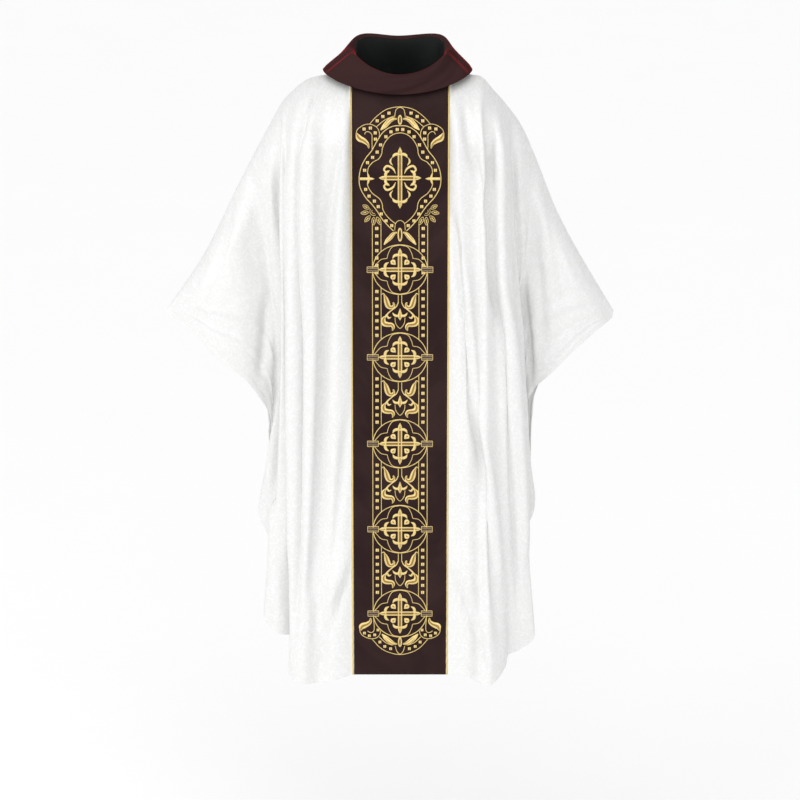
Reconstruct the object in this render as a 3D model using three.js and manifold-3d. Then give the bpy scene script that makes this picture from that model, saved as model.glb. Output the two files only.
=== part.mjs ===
// A gothic chasuble as it hangs when worn with the arms held out and down: four damask body
// panels, a velvet orphrey down the front and the back with cord piping and gold embroidery,
// a rolled velvet cowl collar, and the tapes, facings and interlinings that a maker sews inside.
// Millimetres, +Z up, the front faces -Y, the wearer's right hand is on -X.
// The origin is the centre of the neck opening, level with the neck end of the shoulder seams.
import * as THREE from 'three';
import Module from 'manifold-3d';
import { mergeVertices } from 'three/addons/utils/BufferGeometryUtils.js';

// Driving sizes of the body
const FRONT_DROP = 1258;
const BACK_DROP = 1253;
const REACH_RIGHT = 496;
const REACH_LEFT = 455;
const WING_DROP_RIGHT = 491;
const WING_DROP_LEFT = 496;
const FRONT_HEM_FORWARD = 168;
const FRONT_CHEST_FORWARD = 141;
const BACK_HEM_FORWARD = 140;
const BACK_CHEST_FORWARD = 118;
const CLOTH = 1.4;
const VELVET = 1.6;

// Driving sizes of the orphrey, its piping and the neck
const ORPHREY_HALF = 98.5;
const PIPING_RADIUS = 1.8;
const SEAM_GAP = 0.4;
const NECK_MARGIN = 9;
const NECK_FRONT = 105;
const NECK_BACK = 88;
const NECK_SIDE_HEIGHT = 14;
const NECK_FRONT_DIP = 4;
const NECK_BACK_DIP = 2;
const CHEST_LEVEL = 60;

// Driving sizes of the collar
const COLLAR_REACH_RIGHT = 161;
const COLLAR_REACH_LEFT = 151;
const COLLAR_FRONT = 142;
const COLLAR_BACK = 126;
const COLLAR_SIDE_LOW = 22;
const COLLAR_FRONT_LOW = -6;
const COLLAR_BACK_LOW = 14;
const ROLL_SIDE = 98;
const ROLL_FRONT = 92;
const ROLL_BACK = 82;
const ROLL_SIDE_HIGH = 62;
const ROLL_FRONT_HIGH = 25;
const ROLL_BACK_HIGH = 78;
const ROLL_CORNER_OUT = 14;
const ROLL_CORNER_BACK = 13;
const ROLL_CORNER_HIGH = 12;
const COLLAR_LINING = 1.2;
const COLLAR_INTERFACING = 1.0;

// Driving sizes of what is sewn inside, and the gap that stands for each seam
const LAYER_GAP = 0.4;
const INTERLINING = 1.0;
const HEM_BAND = 0.7;
const HEM_BAND_SHARE = 0.03;
const HEM_CLEAR = 0.4;
const TAPE_HALF = 6;
const TAPE = 1.0;
const TAPE_CLEAR = 3;
const NECK_TAPE = 1.2;
const NECK_TAPE_HEIGHT = 16;

// Driving sizes of the embroidery
const THREAD = 0.9;
const ROUNDELS = 5;
const FIRST_ROUNDEL = 373;
const ROUNDEL_PITCH = 187;
const ROUNDEL_WIDE = 58;
const ROUNDEL_TALL = 53.5;
const LINE = 2.6;
const RAIL_OUTER = 57.4;
const RAIL_INNER = 39.4;
const CROSS_REACH = 44;
const BARREL = [22, 14];
const BARREL_OUT = 53.7;
const MEDALLION_CENTRE = 182;
const MEDALLION_TALL = 110;
const MEDALLION_BORDER = 17;
const RAIL_HEAD = 17;

const PANEL_HALF = ORPHREY_HALF + SEAM_GAP + 2 * PIPING_RADIUS + SEAM_GAP;
const NECK_HALF = PANEL_HALF + NECK_MARGIN;
const RISE = 2.2;

// Colours, roughness
const DAMASK = new THREE.MeshStandardMaterial({ color: 0xf4f3ee, roughness: 0.6, metalness: 0 });
const VELVET_PILE = new THREE.MeshStandardMaterial({ color: 0x3c2a2b, roughness: 0.9, metalness: 0 });
const GOLD_THREAD = new THREE.MeshStandardMaterial({ color: 0xe3c268, roughness: 0.4, metalness: 0.5 });
const DARK_LINING = new THREE.MeshStandardMaterial({ color: 0x232625, roughness: 0.7, metalness: 0 });
const CANVAS = new THREE.MeshStandardMaterial({ color: 0xd9d4c4, roughness: 0.9, metalness: 0 });

// Fold lines of the body, from the orphrey out to the wing tip, drafted for one size and graded
// to the driving sizes. top: distance out along the shoulder. half: out, forward and rounding
// drop halfway down. hem: out, forward, height.
const RIGHT_FOLDS = [
  { top: 103, half: [103, 157, 100], hem: [103, 168, -1258] },
  { top: 112, half: [135, 166, 130], hem: [140, 178, -1268] },
  { top: 150, half: [168, 150, 130], hem: [172, 168, -1276] },
  { top: 194, half: [203, 166, 130], hem: [208, 178, -1275] },
  { top: 219, half: [230, 158, 130], hem: [237, 160, -1258] },
  { top: 234, half: [236, 130, 130], hem: [228, 124, -1192] },
  { top: 246, half: [251, 134, 130], hem: [264, 124, -1178] },
  { top: 256, half: [262, 120, 130], hem: [293, 104, -1140] },
  { top: 268, half: [243, 92, 110], hem: [258, 78, -1062] },
  { top: 285, half: [256, 80, 95], hem: [286, 58, -976] },
  { top: 300, half: [262, 70, 85], hem: [306, 40, -932] },
  { top: 318, half: [268, 56, 80], hem: [290, 40, -822] },
  { top: 340, half: [290, 64, 80], hem: [284, 48, -726] },
  { top: 362, half: [326, 74, 75], hem: [306, 60, -662] },
  { top: 388, half: [358, 74, 70], hem: [336, 68, -624] },
  { top: 426, half: [404, 62, 65], hem: [389, 62, -584] },
  { top: 464, half: [453, 38, 60], hem: [444, 40, -528] },
  { top: 496, half: [494, 10, 60], hem: [491, 12, -506] },
];
const LEFT_FOLDS = [
  { top: 103, half: [103, 157, 100], hem: [103, 168, -1258] },
  { top: 112, half: [138, 168, 130], hem: [143, 176, -1259] },
  { top: 148, half: [164, 156, 130], hem: [168, 170, -1275] },
  { top: 170, half: [182, 162, 130], hem: [194, 180, -1280] },
  { top: 186, half: [204, 126, 130], hem: [224, 142, -1252] },
  { top: 200, half: [226, 142, 130], hem: [232, 114, -1230] },
  { top: 212, half: [242, 138, 130], hem: [258, 118, -1220] },
  { top: 223, half: [250, 120, 130], hem: [290, 104, -1188] },
  { top: 238, half: [228, 94, 115], hem: [254, 80, -1100] },
  { top: 254, half: [244, 82, 100], hem: [262, 58, -988] },
  { top: 270, half: [262, 70, 90], hem: [290, 42, -915] },
  { top: 286, half: [264, 60, 85], hem: [284, 42, -780] },
  { top: 303, half: [274, 62, 80], hem: [280, 46, -700] },
  { top: 322, half: [296, 72, 75], hem: [288, 58, -656] },
  { top: 345, half: [328, 72, 70], hem: [322, 66, -616] },
  { top: 380, half: [372, 62, 65], hem: [374, 60, -565] },
  { top: 420, half: [420, 38, 60], hem: [424, 38, -526] },
  { top: 455, half: [454, 10, 60], hem: [452, 12, -510] },
];
const BACK_FOLDS = [
  { top: 103, half: [103, 130, 100], hem: [103, 140, -1253] },
  { top: 112, half: [136, 134, 130], hem: [142, 152, -1263] },
  { top: 156, half: [170, 116, 130], hem: [174, 134, -1268] },
  { top: 190, half: [204, 132, 130], hem: [211, 148, -1265] },
  { top: 216, half: [230, 112, 125], hem: [238, 124, -1242] },
  { top: 234, half: [226, 84, 115], hem: [230, 92, -1186] },
  { top: 256, half: [254, 84, 105], hem: [274, 84, -1136] },
  { top: 276, half: [240, 60, 95], hem: [252, 58, -1045] },
  { top: 300, half: [256, 60, 85], hem: [286, 38, -963] },
  { top: 322, half: [266, 54, 80], hem: [284, 36, -816] },
  { top: 348, half: [294, 60, 75], hem: [290, 46, -702] },
  { top: 382, half: [346, 66, 70], hem: [330, 60, -630] },
  { top: 424, half: [404, 52, 65], hem: [396, 50, -580] },
  { top: 464, half: [452, 32, 60], hem: [444, 30, -530] },
  { top: 496, half: [494, 9, 60], hem: [491, 10, -506] },
];

// Shoulder and arm line of each side, drafted like the folds: distance out, height
const RIGHT_SHOULDER = [[112, 14], [161, 9], [194, 0], [218, -17], [246, -45], [264, -76], [332, -204],
  [415, -370], [496, -491]];
const LEFT_SHOULDER = [[112, 14], [150, 10], [173, 4], [195, -21], [223, -52], [258, -102], [286, -165],
  [327, -268], [372, -356], [455, -496]];

const lerp = THREE.MathUtils.lerp;

// Height of the neck seam and its distance forward, at a distance out from the centre
function neckHeight(out, dip) {
  const side = Math.min(1, (out / NECK_HALF) ** 2);
  return lerp(-dip, NECK_SIDE_HEIGHT, side);
}

function neckForward(out, depth) {
  return depth * Math.sqrt(Math.max(0, 1 - (out / NECK_HALF) ** 2));
}

// How far a cloth has rounded over from its top edge after a drop
function rounded(drop, over) {
  const left = 1 - Math.min(1, drop / over);
  return Math.sqrt(1 - left * left);
}

// The surface of the orphrey and of the body edges beside it
function centreSurface(face, out, share) {
  const top = neckHeight(out, face.neckDip);
  const z = lerp(top, -face.drop, share);
  const along = (-z - CHEST_LEVEL) / (face.drop - CHEST_LEVEL);
  const hanging = lerp(face.chest, face.hemForward, along);
  const over = 30 + 65 * (out / PANEL_HALF) ** 2;
  const start = neckForward(out, face.neckDepth);
  const forward = start + (hanging - start) * rounded(top - z, over);
  return new THREE.Vector3(out, forward, z);
}

const FRONT = {
  name: 'front',
  toward: -1,
  drop: FRONT_DROP,
  chest: FRONT_CHEST_FORWARD,
  hemForward: FRONT_HEM_FORWARD,
  neckDepth: NECK_FRONT,
  neckDip: NECK_FRONT_DIP,
};
const BACK = {
  name: 'back',
  toward: 1,
  drop: BACK_DROP,
  chest: BACK_CHEST_FORWARD,
  hemForward: BACK_HEM_FORWARD,
  neckDepth: NECK_BACK,
  neckDip: NECK_BACK_DIP,
};

const smooth = (points) => new THREE.CatmullRomCurve3(points, false, 'catmullrom', 0.5);

// Height of a smooth line through points of distance out and height
function heightAlong(line, out) {
  const slope = (i) => {
    const [a, b] = [line[Math.max(0, i - 1)], line[Math.min(line.length - 1, i + 1)]];
    return (b[1] - a[1]) / (b[0] - a[0]);
  };
  const found = line.findIndex(([x]) => x >= out);
  const next = found < 1 ? (found < 0 ? line.length - 1 : 1) : found;
  const [a, b] = [line[next - 1], line[next]];
  const span = b[0] - a[0];
  const t = THREE.MathUtils.clamp((out - a[0]) / span, 0, 1);
  const [t2, t3] = [t * t, t * t * t];
  return a[1] * (2 * t3 - 3 * t2 + 1) + slope(next - 1) * span * (t3 - 2 * t2 + t)
    + b[1] * (3 * t2 - 2 * t3) + slope(next) * span * (t3 - t2);
}

// The mid surface of one body panel: fold 0 lies beside the piping, the last fold is the wing tip
function bodySurface(face, folds, { side, shoulder, reach, wingDrop }) {
  const tip = folds[folds.length - 1].top;
  const first = folds[0];
  const grow = (reach - NECK_HALF) / (tip - shoulder[0][0]);
  const graded = (out) => (out <= first.top
    ? PANEL_HALF
    : NECK_HALF + (out - shoulder[0][0]) * grow);
  const forward = face.hemForward / first.hem[1];
  const low = shoulder[shoulder.length - 1][1];
  const armFall = wingDrop / -low;
  const hemFall = face.drop / -first.hem[2];
  const line = shoulder.map(([out, z]) => [graded(out), z < 0 ? z * armFall : z]);
  const shoulderHeight = (out) => heightAlong(line, out);
  const tops = folds.map(({ top }, i) => {
    const out = i === folds.length - 1 ? line[line.length - 1][0] : graded(top);
    return new THREE.Vector3(out, 0, 0);
  });
  const halves = folds.map(({ half }) => new THREE.Vector3(graded(half[0]), half[1] * forward, half[2]));
  const wingHem = (z) => (-z < 700 ? z * armFall : z * hemFall);
  const hems = folds.map(({ hem }) => new THREE.Vector3(graded(hem[0]), hem[1] * forward, wingHem(hem[2])));
  const [topLine, halfLine, hemLine] = [smooth(tops), smooth(halves), smooth(hems)];
  const last = folds.length - 1;
  const point = (fold, down) => {
    const share = down ** RISE;
    const edge = centreSurface(face, PANEL_HALF, share);
    const t = THREE.MathUtils.clamp(fold / last, 0, 1);
    const top = topLine.getPoint(t);
    top.z = top.x <= NECK_HALF ? neckHeight(top.x, face.neckDip) : shoulderHeight(top.x);
    const half = halfLine.getPoint(t);
    const hem = hemLine.getPoint(t);
    const nearTop = (share - 0.5) * (share - 1) * 2;
    const nearHalf = share * (1 - share) * 4;
    const nearHem = share * (share - 0.5) * 2;
    const out = top.x * nearTop + half.x * nearHalf + hem.x * nearHem;
    const z = lerp(top.z, hem.z, share);
    const fall = lerp(half.y, hem.y, Math.max(0, 2 * share - 1));
    const y = SEAM_GAP / 2 + (fall - SEAM_GAP / 2) * rounded(top.z - z, half.z);
    const inward = THREE.MathUtils.clamp(1 - fold, 0, 1);
    const p = new THREE.Vector3(out, y, z).lerp(edge, inward);
    return p.set(side * p.x, face.toward * p.y, p.z);
  };
  return {
    point,
    last,
    flatten: (normal, fold, down) => {
      if (fold < 1e-6) normal.x = 0;
      if (down < 1e-6 && fold >= 1) normal.y = 0;
      return normal.normalize();
    },
  };
}

function orphreySurface(face) {
  return {
    point: (across, down) => {
      const p = centreSurface(face, Math.abs(across) * ORPHREY_HALF, down ** RISE);
      return p.set(Math.sign(across) * p.x, face.toward * p.y, p.z);
    },
    flatten: (normal) => normal.setX(0).normalize(),
  };
}

// The normal of a surface, by small steps along it; turn is 1 or -1, the same all over a surface
function surfaceNormal(surface, u, v, turn) {
  const step = 1e-3;
  const along = surface.point(u + step, v).sub(surface.point(u - step, v));
  const down = surface.point(u, Math.min(1, v + step)).sub(surface.point(u, Math.max(0, v - step)));
  return along.cross(down).normalize().multiplyScalar(turn);
}

// A closed sheet between two offsets of a surface, both faces cut along the same diagonals
function sheet(layers, rows, columns, ring) {
  const positions = [];
  layers.forEach((layer) => layer.forEach((p) => positions.push(p.x, p.y, p.z)));
  const count = rows * columns;
  const at = (layer, row, column) => layer * count + row * columns + (column % columns);
  const index = [];
  const quad = (a, b, c, d) => index.push(a, b, c, a, c, d);
  const spans = ring ? columns : columns - 1;
  for (let row = 0; row < rows - 1; row += 1) {
    for (let column = 0; column < spans; column += 1) {
      const [r, c] = [row + 1, column + 1];
      quad(at(0, row, column), at(0, row, c), at(0, r, c), at(0, r, column));
      const [a, b, d, e] = [at(1, row, column), at(1, row, c), at(1, r, c), at(1, r, column)];
      index.push(a, d, b, a, e, d);
    }
  }
  for (let column = 0; column < spans; column += 1) {
    const c = column + 1;
    quad(at(1, 0, column), at(1, 0, c), at(0, 0, c), at(0, 0, column));
    const end = rows - 1;
    quad(at(0, end, column), at(0, end, c), at(1, end, c), at(1, end, column));
  }
  for (let row = 0; row < rows - 1 && !ring; row += 1) {
    const r = row + 1;
    quad(at(0, row, 0), at(0, r, 0), at(1, r, 0), at(1, row, 0));
    const end = columns - 1;
    quad(at(1, row, end), at(1, r, end), at(0, r, end), at(0, row, end));
  }
  const geometry = new THREE.BufferGeometry();
  geometry.setAttribute('position', new THREE.Float32BufferAttribute(positions, 3));
  geometry.setIndex(index);
  return facingOut(geometry);
}

// Turns a closed geometry right side out
function facingOut(geometry) {
  const position = geometry.getAttribute('position');
  const index = geometry.getIndex();
  const [a, b, c] = [new THREE.Vector3(), new THREE.Vector3(), new THREE.Vector3()];
  let volume = 0;
  for (let i = 0; i < index.count; i += 3) {
    a.fromBufferAttribute(position, index.getX(i));
    b.fromBufferAttribute(position, index.getX(i + 1));
    c.fromBufferAttribute(position, index.getX(i + 2));
    volume += a.dot(b.cross(c));
  }
  if (volume < 0) {
    for (let i = 0; i < index.count; i += 3) {
      const first = index.getX(i);
      index.setX(i, index.getX(i + 2));
      index.setX(i + 2, first);
    }
  }
  return geometry;
}

// A sheet laid along a surface, from one offset to another
function laidSheet(surface, face, us, vs, outer, inner) {
  const turn = Math.sign(surfaceNormal(surface, us[0], 0.5, 1).y) * face.toward;
  const layers = [outer, inner].map((offset) => vs.flatMap((v) => us.map((u) => {
    const normal = surface.flatten(surfaceNormal(surface, u, v, turn), u, v);
    return surface.point(u, v).addScaledVector(normal, offset);
  })));
  return sheet(layers, vs.length, us.length, false);
}

const group = new THREE.Group();

function add(name, geometry, material) {
  const mesh = new THREE.Mesh(geometry, material);
  mesh.name = name;
  group.add(mesh);
}

const wasm = await Module();
wasm.setup();

function toManifold(geometry) {
  const plain = geometry.clone();
  plain.deleteAttribute('normal');
  plain.deleteAttribute('uv');
  const merged = mergeVertices(plain, 1e-4);
  const vertProperties = new Float32Array(merged.getAttribute('position').array);
  const triVerts = new Uint32Array(merged.getIndex().array);
  return new wasm.Manifold(new wasm.Mesh({ numProp: 3, vertProperties, triVerts }));
}

function joined(geometries) {
  const whole = geometries.map(toManifold).reduce((sum, next) => sum.add(next));
  const mesh = whole.getMesh();
  const geometry = new THREE.BufferGeometry();
  geometry.setAttribute('position', new THREE.Float32BufferAttribute(mesh.vertProperties, 3));
  geometry.setIndex([...mesh.triVerts]);
  return geometry;
}

// Rows down a panel: close together over the shoulder, where the cloth turns over
const ROWS = [0, 0.03, 0.09, 0.17, 0.26, 0.38, 0.52, 0.66, 0.8, 1 - HEM_BAND_SHARE / RISE, 1];
const HEM_ROWS = ROWS.slice(-2);

const SIDES = [
  { name: 'right', side: -1, reach: REACH_RIGHT, wingDrop: WING_DROP_RIGHT, shoulder: RIGHT_SHOULDER },
  { name: 'left', side: 1, reach: REACH_LEFT, wingDrop: WING_DROP_LEFT, shoulder: LEFT_SHOULDER },
];

// Columns across a panel: on each fold line, and between those that turn sharply
function columnsOf(last) {
  const columns = [];
  for (let i = 0; i < last; i += 1) {
    columns.push(i);
    if (i >= 1 && i <= 10) columns.push(i + 0.5);
  }
  columns.push(last);
  return columns;
}

function foldsFor(face, { side, shoulder }) {
  if (face === FRONT) return side < 0 ? RIGHT_FOLDS : LEFT_FOLDS;
  const tip = BACK_FOLDS[BACK_FOLDS.length - 1].top;
  const corner = shoulder[0][0];
  const narrow = (shoulder[shoulder.length - 1][0] - corner) / (tip - corner);
  const move = (out) => (out <= corner ? out : corner + (out - corner) * narrow);
  const keep = (out) => (out < 300 ? out : lerp(300, move(tip), (out - 300) / (tip - 300)));
  return BACK_FOLDS.map(({ top, half, hem }) => ({
    top: move(top),
    half: [keep(half[0]), half[1], half[2]],
    hem: [keep(hem[0]), hem[1], hem[2]],
  }));
}

function addBody(face) {
  SIDES.forEach((half) => {
    const surface = bodySurface(face, foldsFor(face, half), half);
    const columns = columnsOf(surface.last);
    add(`${face.name}_${half.name}_body`,
      laidSheet(surface, face, columns, ROWS, CLOTH / 2, -CLOTH / 2), DAMASK);
    const under = -CLOTH / 2 - HEM_CLEAR;
    add(`${face.name}_${half.name}_hem_band`,
      laidSheet(surface, face, columns.slice(1, -2), HEM_ROWS, under, under - HEM_BAND), DAMASK);
    const edge = ROWS.map((row) => {
      const p = surface.point(0, row);
      p.x = half.side * (ORPHREY_HALF + SEAM_GAP + PIPING_RADIUS);
      return p;
    });
    add(`${face.name}_${half.name}_piping`, cord(edge.slice(1)), GOLD_THREAD);
  });
}

// A round cord along a line of points
function cord(points) {
  const curve = new THREE.CatmullRomCurve3(points);
  const section = new THREE.Shape().absarc(0, 0, PIPING_RADIUS, 0, 2 * Math.PI);
  return new THREE.ExtrudeGeometry(section, { steps: 14, curveSegments: 4, extrudePath: curve });
}

function addOrphrey(face) {
  const surface = orphreySurface(face);
  const across = [-1, -0.7, -0.35, 0.001, 0.35, 0.7, 1];
  add(`${face.name}_orphrey`,
    laidSheet(surface, face, across, ROWS, VELVET / 2, -VELVET / 2), VELVET_PILE);
  const under = -VELVET / 2 - LAYER_GAP;
  add(`${face.name}_interlining`,
    laidSheet(surface, face, across, ROWS, under, under - INTERLINING), CANVAS);
}

// The tape under each shoulder seam follows the seam from the neck to near the wing tip
function addShoulderTape(half) {
  const surface = bodySurface(FRONT, foldsFor(FRONT, half), half);
  const stops = columnsOf(surface.last).filter((u) => u >= 1.5 && u <= surface.last - 1);
  const depth = CLOTH / 2 + TAPE_CLEAR;
  const layers = [depth, depth + TAPE].map((below) => [-TAPE_HALF, TAPE_HALF].flatMap((y) => (
    stops.map((u) => {
      const normal = surfaceNormal(surface, u, 0, half.side).setY(0).normalize();
      return surface.point(u, 0).addScaledVector(normal, -below).setY(y);
    }))));
  add(`${half.name}_shoulder_tape`, sheet(layers, 2, stops.length, false), CANVAS);
}

// A height or distance that changes round the neck from the front to the sides to the back
function around(angle, front, side, back) {
  const sideways = Math.cos(angle) ** 2;
  const end = Math.sin(angle) < 0 ? front : back;
  return lerp(end, side, sideways);
}

// One point of the collar's path at an angle: 0 at the outer edge, over the roll, 1 at the neck seam
function collarPath(angle, share) {
  const [c, s] = [Math.cos(angle), Math.sin(angle)];
  const front = s < 0;
  const seamClear = 4.5;
  const reach = c < 0 ? COLLAR_REACH_RIGHT : COLLAR_REACH_LEFT;
  const edge = new THREE.Vector3(reach * c, (front ? COLLAR_FRONT : COLLAR_BACK) * s,
    around(angle, COLLAR_FRONT_LOW, COLLAR_SIDE_LOW, COLLAR_BACK_LOW));
  const roll = new THREE.Vector3(ROLL_SIDE * c, (front ? ROLL_FRONT : ROLL_BACK) * s,
    around(angle, ROLL_FRONT_HIGH, ROLL_SIDE_HIGH, ROLL_BACK_HIGH));
  const corner = front ? 0 : (2 * c * s) ** 2;
  roll.x += Math.sign(c) * ROLL_CORNER_OUT * corner;
  roll.y += ROLL_CORNER_BACK * corner;
  roll.z += ROLL_CORNER_HIGH * corner;
  const seam = new THREE.Vector3((NECK_HALF - seamClear) * c,
    ((front ? NECK_FRONT : NECK_BACK) - seamClear) * s,
    around(angle, -NECK_FRONT_DIP, NECK_SIDE_HEIGHT, -NECK_BACK_DIP) - 5);
  const bulge = edge.clone().lerp(roll, 0.55).add(new THREE.Vector3(c * 3, s * 3, 3));
  const above = roll.clone().add(new THREE.Vector3(c * 5, s * 5, 2));
  const inside = roll.clone().add(new THREE.Vector3(-c * 5, -s * 5, -7));
  const curve = new THREE.CatmullRomCurve3([edge, bulge, above, inside, seam]);
  return curve.getPoint(share);
}

function collarSheet(shares, outer, inner) {
  const angles = 32;
  const step = 1e-3;
  const layers = [outer, inner].map((offset) => shares.flatMap((share) => (
    Array.from({ length: angles }, (_, i) => {
      const angle = (2 * Math.PI * i) / angles;
      const p = collarPath(angle, share);
      const along = collarPath(angle + step, share).sub(collarPath(angle - step, share));
      const up = collarPath(angle, Math.min(1, share + step))
        .sub(collarPath(angle, Math.max(0, share - step)));
      const normal = along.cross(up).normalize();
      return p.addScaledVector(normal, offset);
    }))));
  return sheet(layers, shares.length, angles, true);
}

function addCollar() {
  const fall = [0, 0.14, 0.28, 0.4, 0.5, 0.6, 0.7];
  const stand = [0.71, 0.78, 0.88, 1];
  add('collar_velvet', collarSheet(fall, VELVET / 2, -VELVET / 2), VELVET_PILE);
  add('collar_lining', collarSheet(stand, COLLAR_LINING / 2, -COLLAR_LINING / 2), DARK_LINING);
  const under = -VELVET / 2 - LAYER_GAP;
  add('collar_interfacing',
    collarSheet(fall.slice(0, 4), under, under - COLLAR_INTERFACING), CANVAS);
  const ringCount = 32;
  const clear = 4.5 + COLLAR_LINING + 2 * LAYER_GAP;
  const layers = [0, NECK_TAPE].map((inset) => [0, 1].flatMap((low) => (
    Array.from({ length: ringCount }, (_, i) => {
      const angle = (2 * Math.PI * i) / ringCount;
      const [c, s] = [Math.cos(angle), Math.sin(angle)];
      const depth = s < 0 ? NECK_FRONT : NECK_BACK;
      const top = around(angle, -NECK_FRONT_DIP, NECK_SIDE_HEIGHT, -NECK_BACK_DIP) - 7;
      return new THREE.Vector3((NECK_HALF - clear - inset) * c, (depth - clear - inset) * s,
        top - low * NECK_TAPE_HEIGHT);
    }))));
  add('neck_tape', sheet(layers, 2, ringCount, true), DARK_LINING);
}

// Flat ornaments are drawn with x across and y up the orphrey, then laid on its surface
function plate(shape) {
  return new THREE.ExtrudeGeometry(shape, { depth: THREAD, bevelEnabled: false, curveSegments: 12 });
}

function bar(x, y, width, height) {
  const box = new THREE.BoxGeometry(width, height, THREAD);
  return box.translate(x, y, THREAD / 2);
}

function ellipseShape(x, y, wide, tall, line) {
  const shape = new THREE.Shape();
  shape.absellipse(x, y, wide, tall, 0, 2 * Math.PI);
  const hole = new THREE.Path();
  hole.absellipse(x, y, wide - line, tall - line, 0, 2 * Math.PI, true);
  shape.holes.push(hole);
  return shape;
}

function mirroredShape(rightHalf) {
  const leftHalf = rightHalf.slice().reverse().filter(([x]) => x > 0).map(([x, y]) => [-x, y]);
  return new THREE.Shape([...rightHalf, ...leftHalf].map(([x, y]) => new THREE.Vector2(x, y)));
}

// Lays a flat ornament on the orphrey of one face
function laidOrnament(face, geometry) {
  const position = geometry.getAttribute('position');
  for (let i = 0; i < position.count; i += 1) {
    const [x, z, lift] = [position.getX(i), position.getY(i), position.getZ(i)];
    const out = Math.abs(x);
    const top = neckHeight(out, face.neckDip);
    const share = (top - z) / (top + face.drop);
    const cloth = centreSurface(face, out, share).y;
    position.setXYZ(i, x, face.toward * (cloth + VELVET / 2 + LAYER_GAP + lift), z);
  }
  const plain = geometry.clone();
  plain.deleteAttribute('normal');
  plain.deleteAttribute('uv');
  return facingOut(mergeVertices(plain, 1e-4));
}

// A cross with a small lily at the end of each arm
function crossShape(reach, wide) {
  const [arm, flare] = [wide / 2, wide * 1.35];
  const quarter = [
    [reach, 0], [reach * 0.86, arm * 0.8], [reach * 0.72, arm], [reach * 0.76, flare], [reach * 0.6, arm],
    [arm, arm],
  ];
  const turn = ([x, y], times) => {
    const angle = (times * Math.PI) / 2;
    return new THREE.Vector2(x * Math.cos(angle) - y * Math.sin(angle),
      x * Math.sin(angle) + y * Math.cos(angle));
  };
  const points = [];
  for (let times = 0; times < 4; times += 1) {
    quarter.forEach((p) => points.push(turn(p, times)));
    quarter.slice(1, -1).reverse().forEach(([x, y]) => points.push(turn([y, x], times)));
  }
  return new THREE.Shape(points);
}

// How far above or below its centre a roundel's ring reaches at a distance out
function ringReach(out) {
  return ROUNDEL_TALL * Math.sqrt(1 - (out / ROUNDEL_WIDE) ** 2);
}

// A ringed cross with its side barrels and the rails that rise from it. railTop gives the height
// where a rail at a distance out ends.
function roundel(centre, railTop) {
  const pieces = [
    plate(ellipseShape(0, centre, ROUNDEL_WIDE, ROUNDEL_TALL, LINE)),
    plate(crossShape(CROSS_REACH, 12)).translate(0, centre, 0),
  ];
  [-1, 1].forEach((side) => {
    pieces.push(bar(side * BARREL_OUT, centre, BARREL[0], BARREL[1]));
    [RAIL_OUTER, RAIL_INNER].forEach((rail) => {
      const foot = centre + ringReach(rail - 1) - 2 * LINE;
      const height = railTop(rail) - foot;
      pieces.push(bar(side * rail, foot + height / 2, LINE * 0.7, height));
    });
  });
  return joined(pieces);
}

// Leaves, stem and lily between two roundels
function spray(top, bottom) {
  const tall = top - bottom;
  const half = [
    [0, 1], [3, 0.99], [4, 0.74], [12, 0.62], [16, 0.72], [20, 0.9], [30, 0.98], [26, 0.75], [24, 0.6],
    [14, 0.5], [22, 0.36], [33, 0.3], [30, 0.16], [18, 0.03], [16, 0.14], [20, 0.26], [12, 0.3],
    [10, 0.18], [0, 0.08],
  ];
  return plate(mirroredShape(half.reverse().map(([x, y]) => [x, bottom + y * tall])));
}

// The pointed oval frame of the medallion
function medallionFrame(centre) {
  const wide = ORPHREY_HALF - MEDALLION_BORDER + 2;
  const outline = (inset) => {
    const edge = [
      [0, -1], [28, -0.93], [56, -0.56], [wide - 6, -0.28], [wide, 0], [wide - 6, 0.32], [58, 0.58],
      [40, 0.86], [18, 0.98], [0, 1],
    ];
    const tall = MEDALLION_TALL - inset;
    return edge.map(([x, y]) => [Math.max(0, x - inset * (x > 0 ? 1 : 0)), y * tall]);
  };
  const shape = mirroredShape(outline(0));
  const hole = mirroredShape(outline(MEDALLION_BORDER));
  shape.holes.push(new THREE.Path(hole.getPoints().reverse()));
  return plate(shape).translate(0, -centre, 0);
}

// The arch with curled ends that crowns the medallion, and upside down closes the foot
function crest(level, up) {
  const half = [
    [0, 0], [30, -5], [56, -24], [66, -37], [80, -34], [89, -46], [84, -58], [66, -78], [68, -60],
    [62, -48], [50, -34], [28, -17], [0, -13],
  ];
  return plate(mirroredShape(half.map(([x, y]) => [x, level + up * y])));
}

function addEmbroidery(face) {
  const name = face.name;
  const lay = (part, geometry) => add(`${name}_${part}`, laidOrnament(face, geometry), GOLD_THREAD);
  const medallionTop = MEDALLION_CENTRE - MEDALLION_TALL;
  const medallionFoot = MEDALLION_CENTRE + MEDALLION_TALL;
  lay('crest', crest(-(medallionTop - 37), 1));
  lay('medallion_frame', medallionFrame(MEDALLION_CENTRE));
  lay('medallion_cross', plate(crossShape(58, 15)).translate(0, -MEDALLION_CENTRE, 0));
  for (let i = 0; i < ROUNDELS; i += 1) {
    const centre = -(FIRST_ROUNDEL + i * ROUNDEL_PITCH);
    const above = (rail) => (i === 0
      ? RAIL_HEAD - medallionFoot
      : centre + ROUNDEL_PITCH - ringReach(rail - LINE) - LINE / 2);
    lay(`roundel_${i + 1}`, roundel(centre, above));
    if (i > 0) {
      const top = centre + ROUNDEL_PITCH - ROUNDEL_TALL - LAYER_GAP;
      lay(`spray_${i}`, spray(top, centre + ROUNDEL_TALL + LAYER_GAP));
    }
  }
  const last = FIRST_ROUNDEL + (ROUNDELS - 1) * ROUNDEL_PITCH;
  lay('foot_crest', crest(-(last + 95), -1));
}

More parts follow.
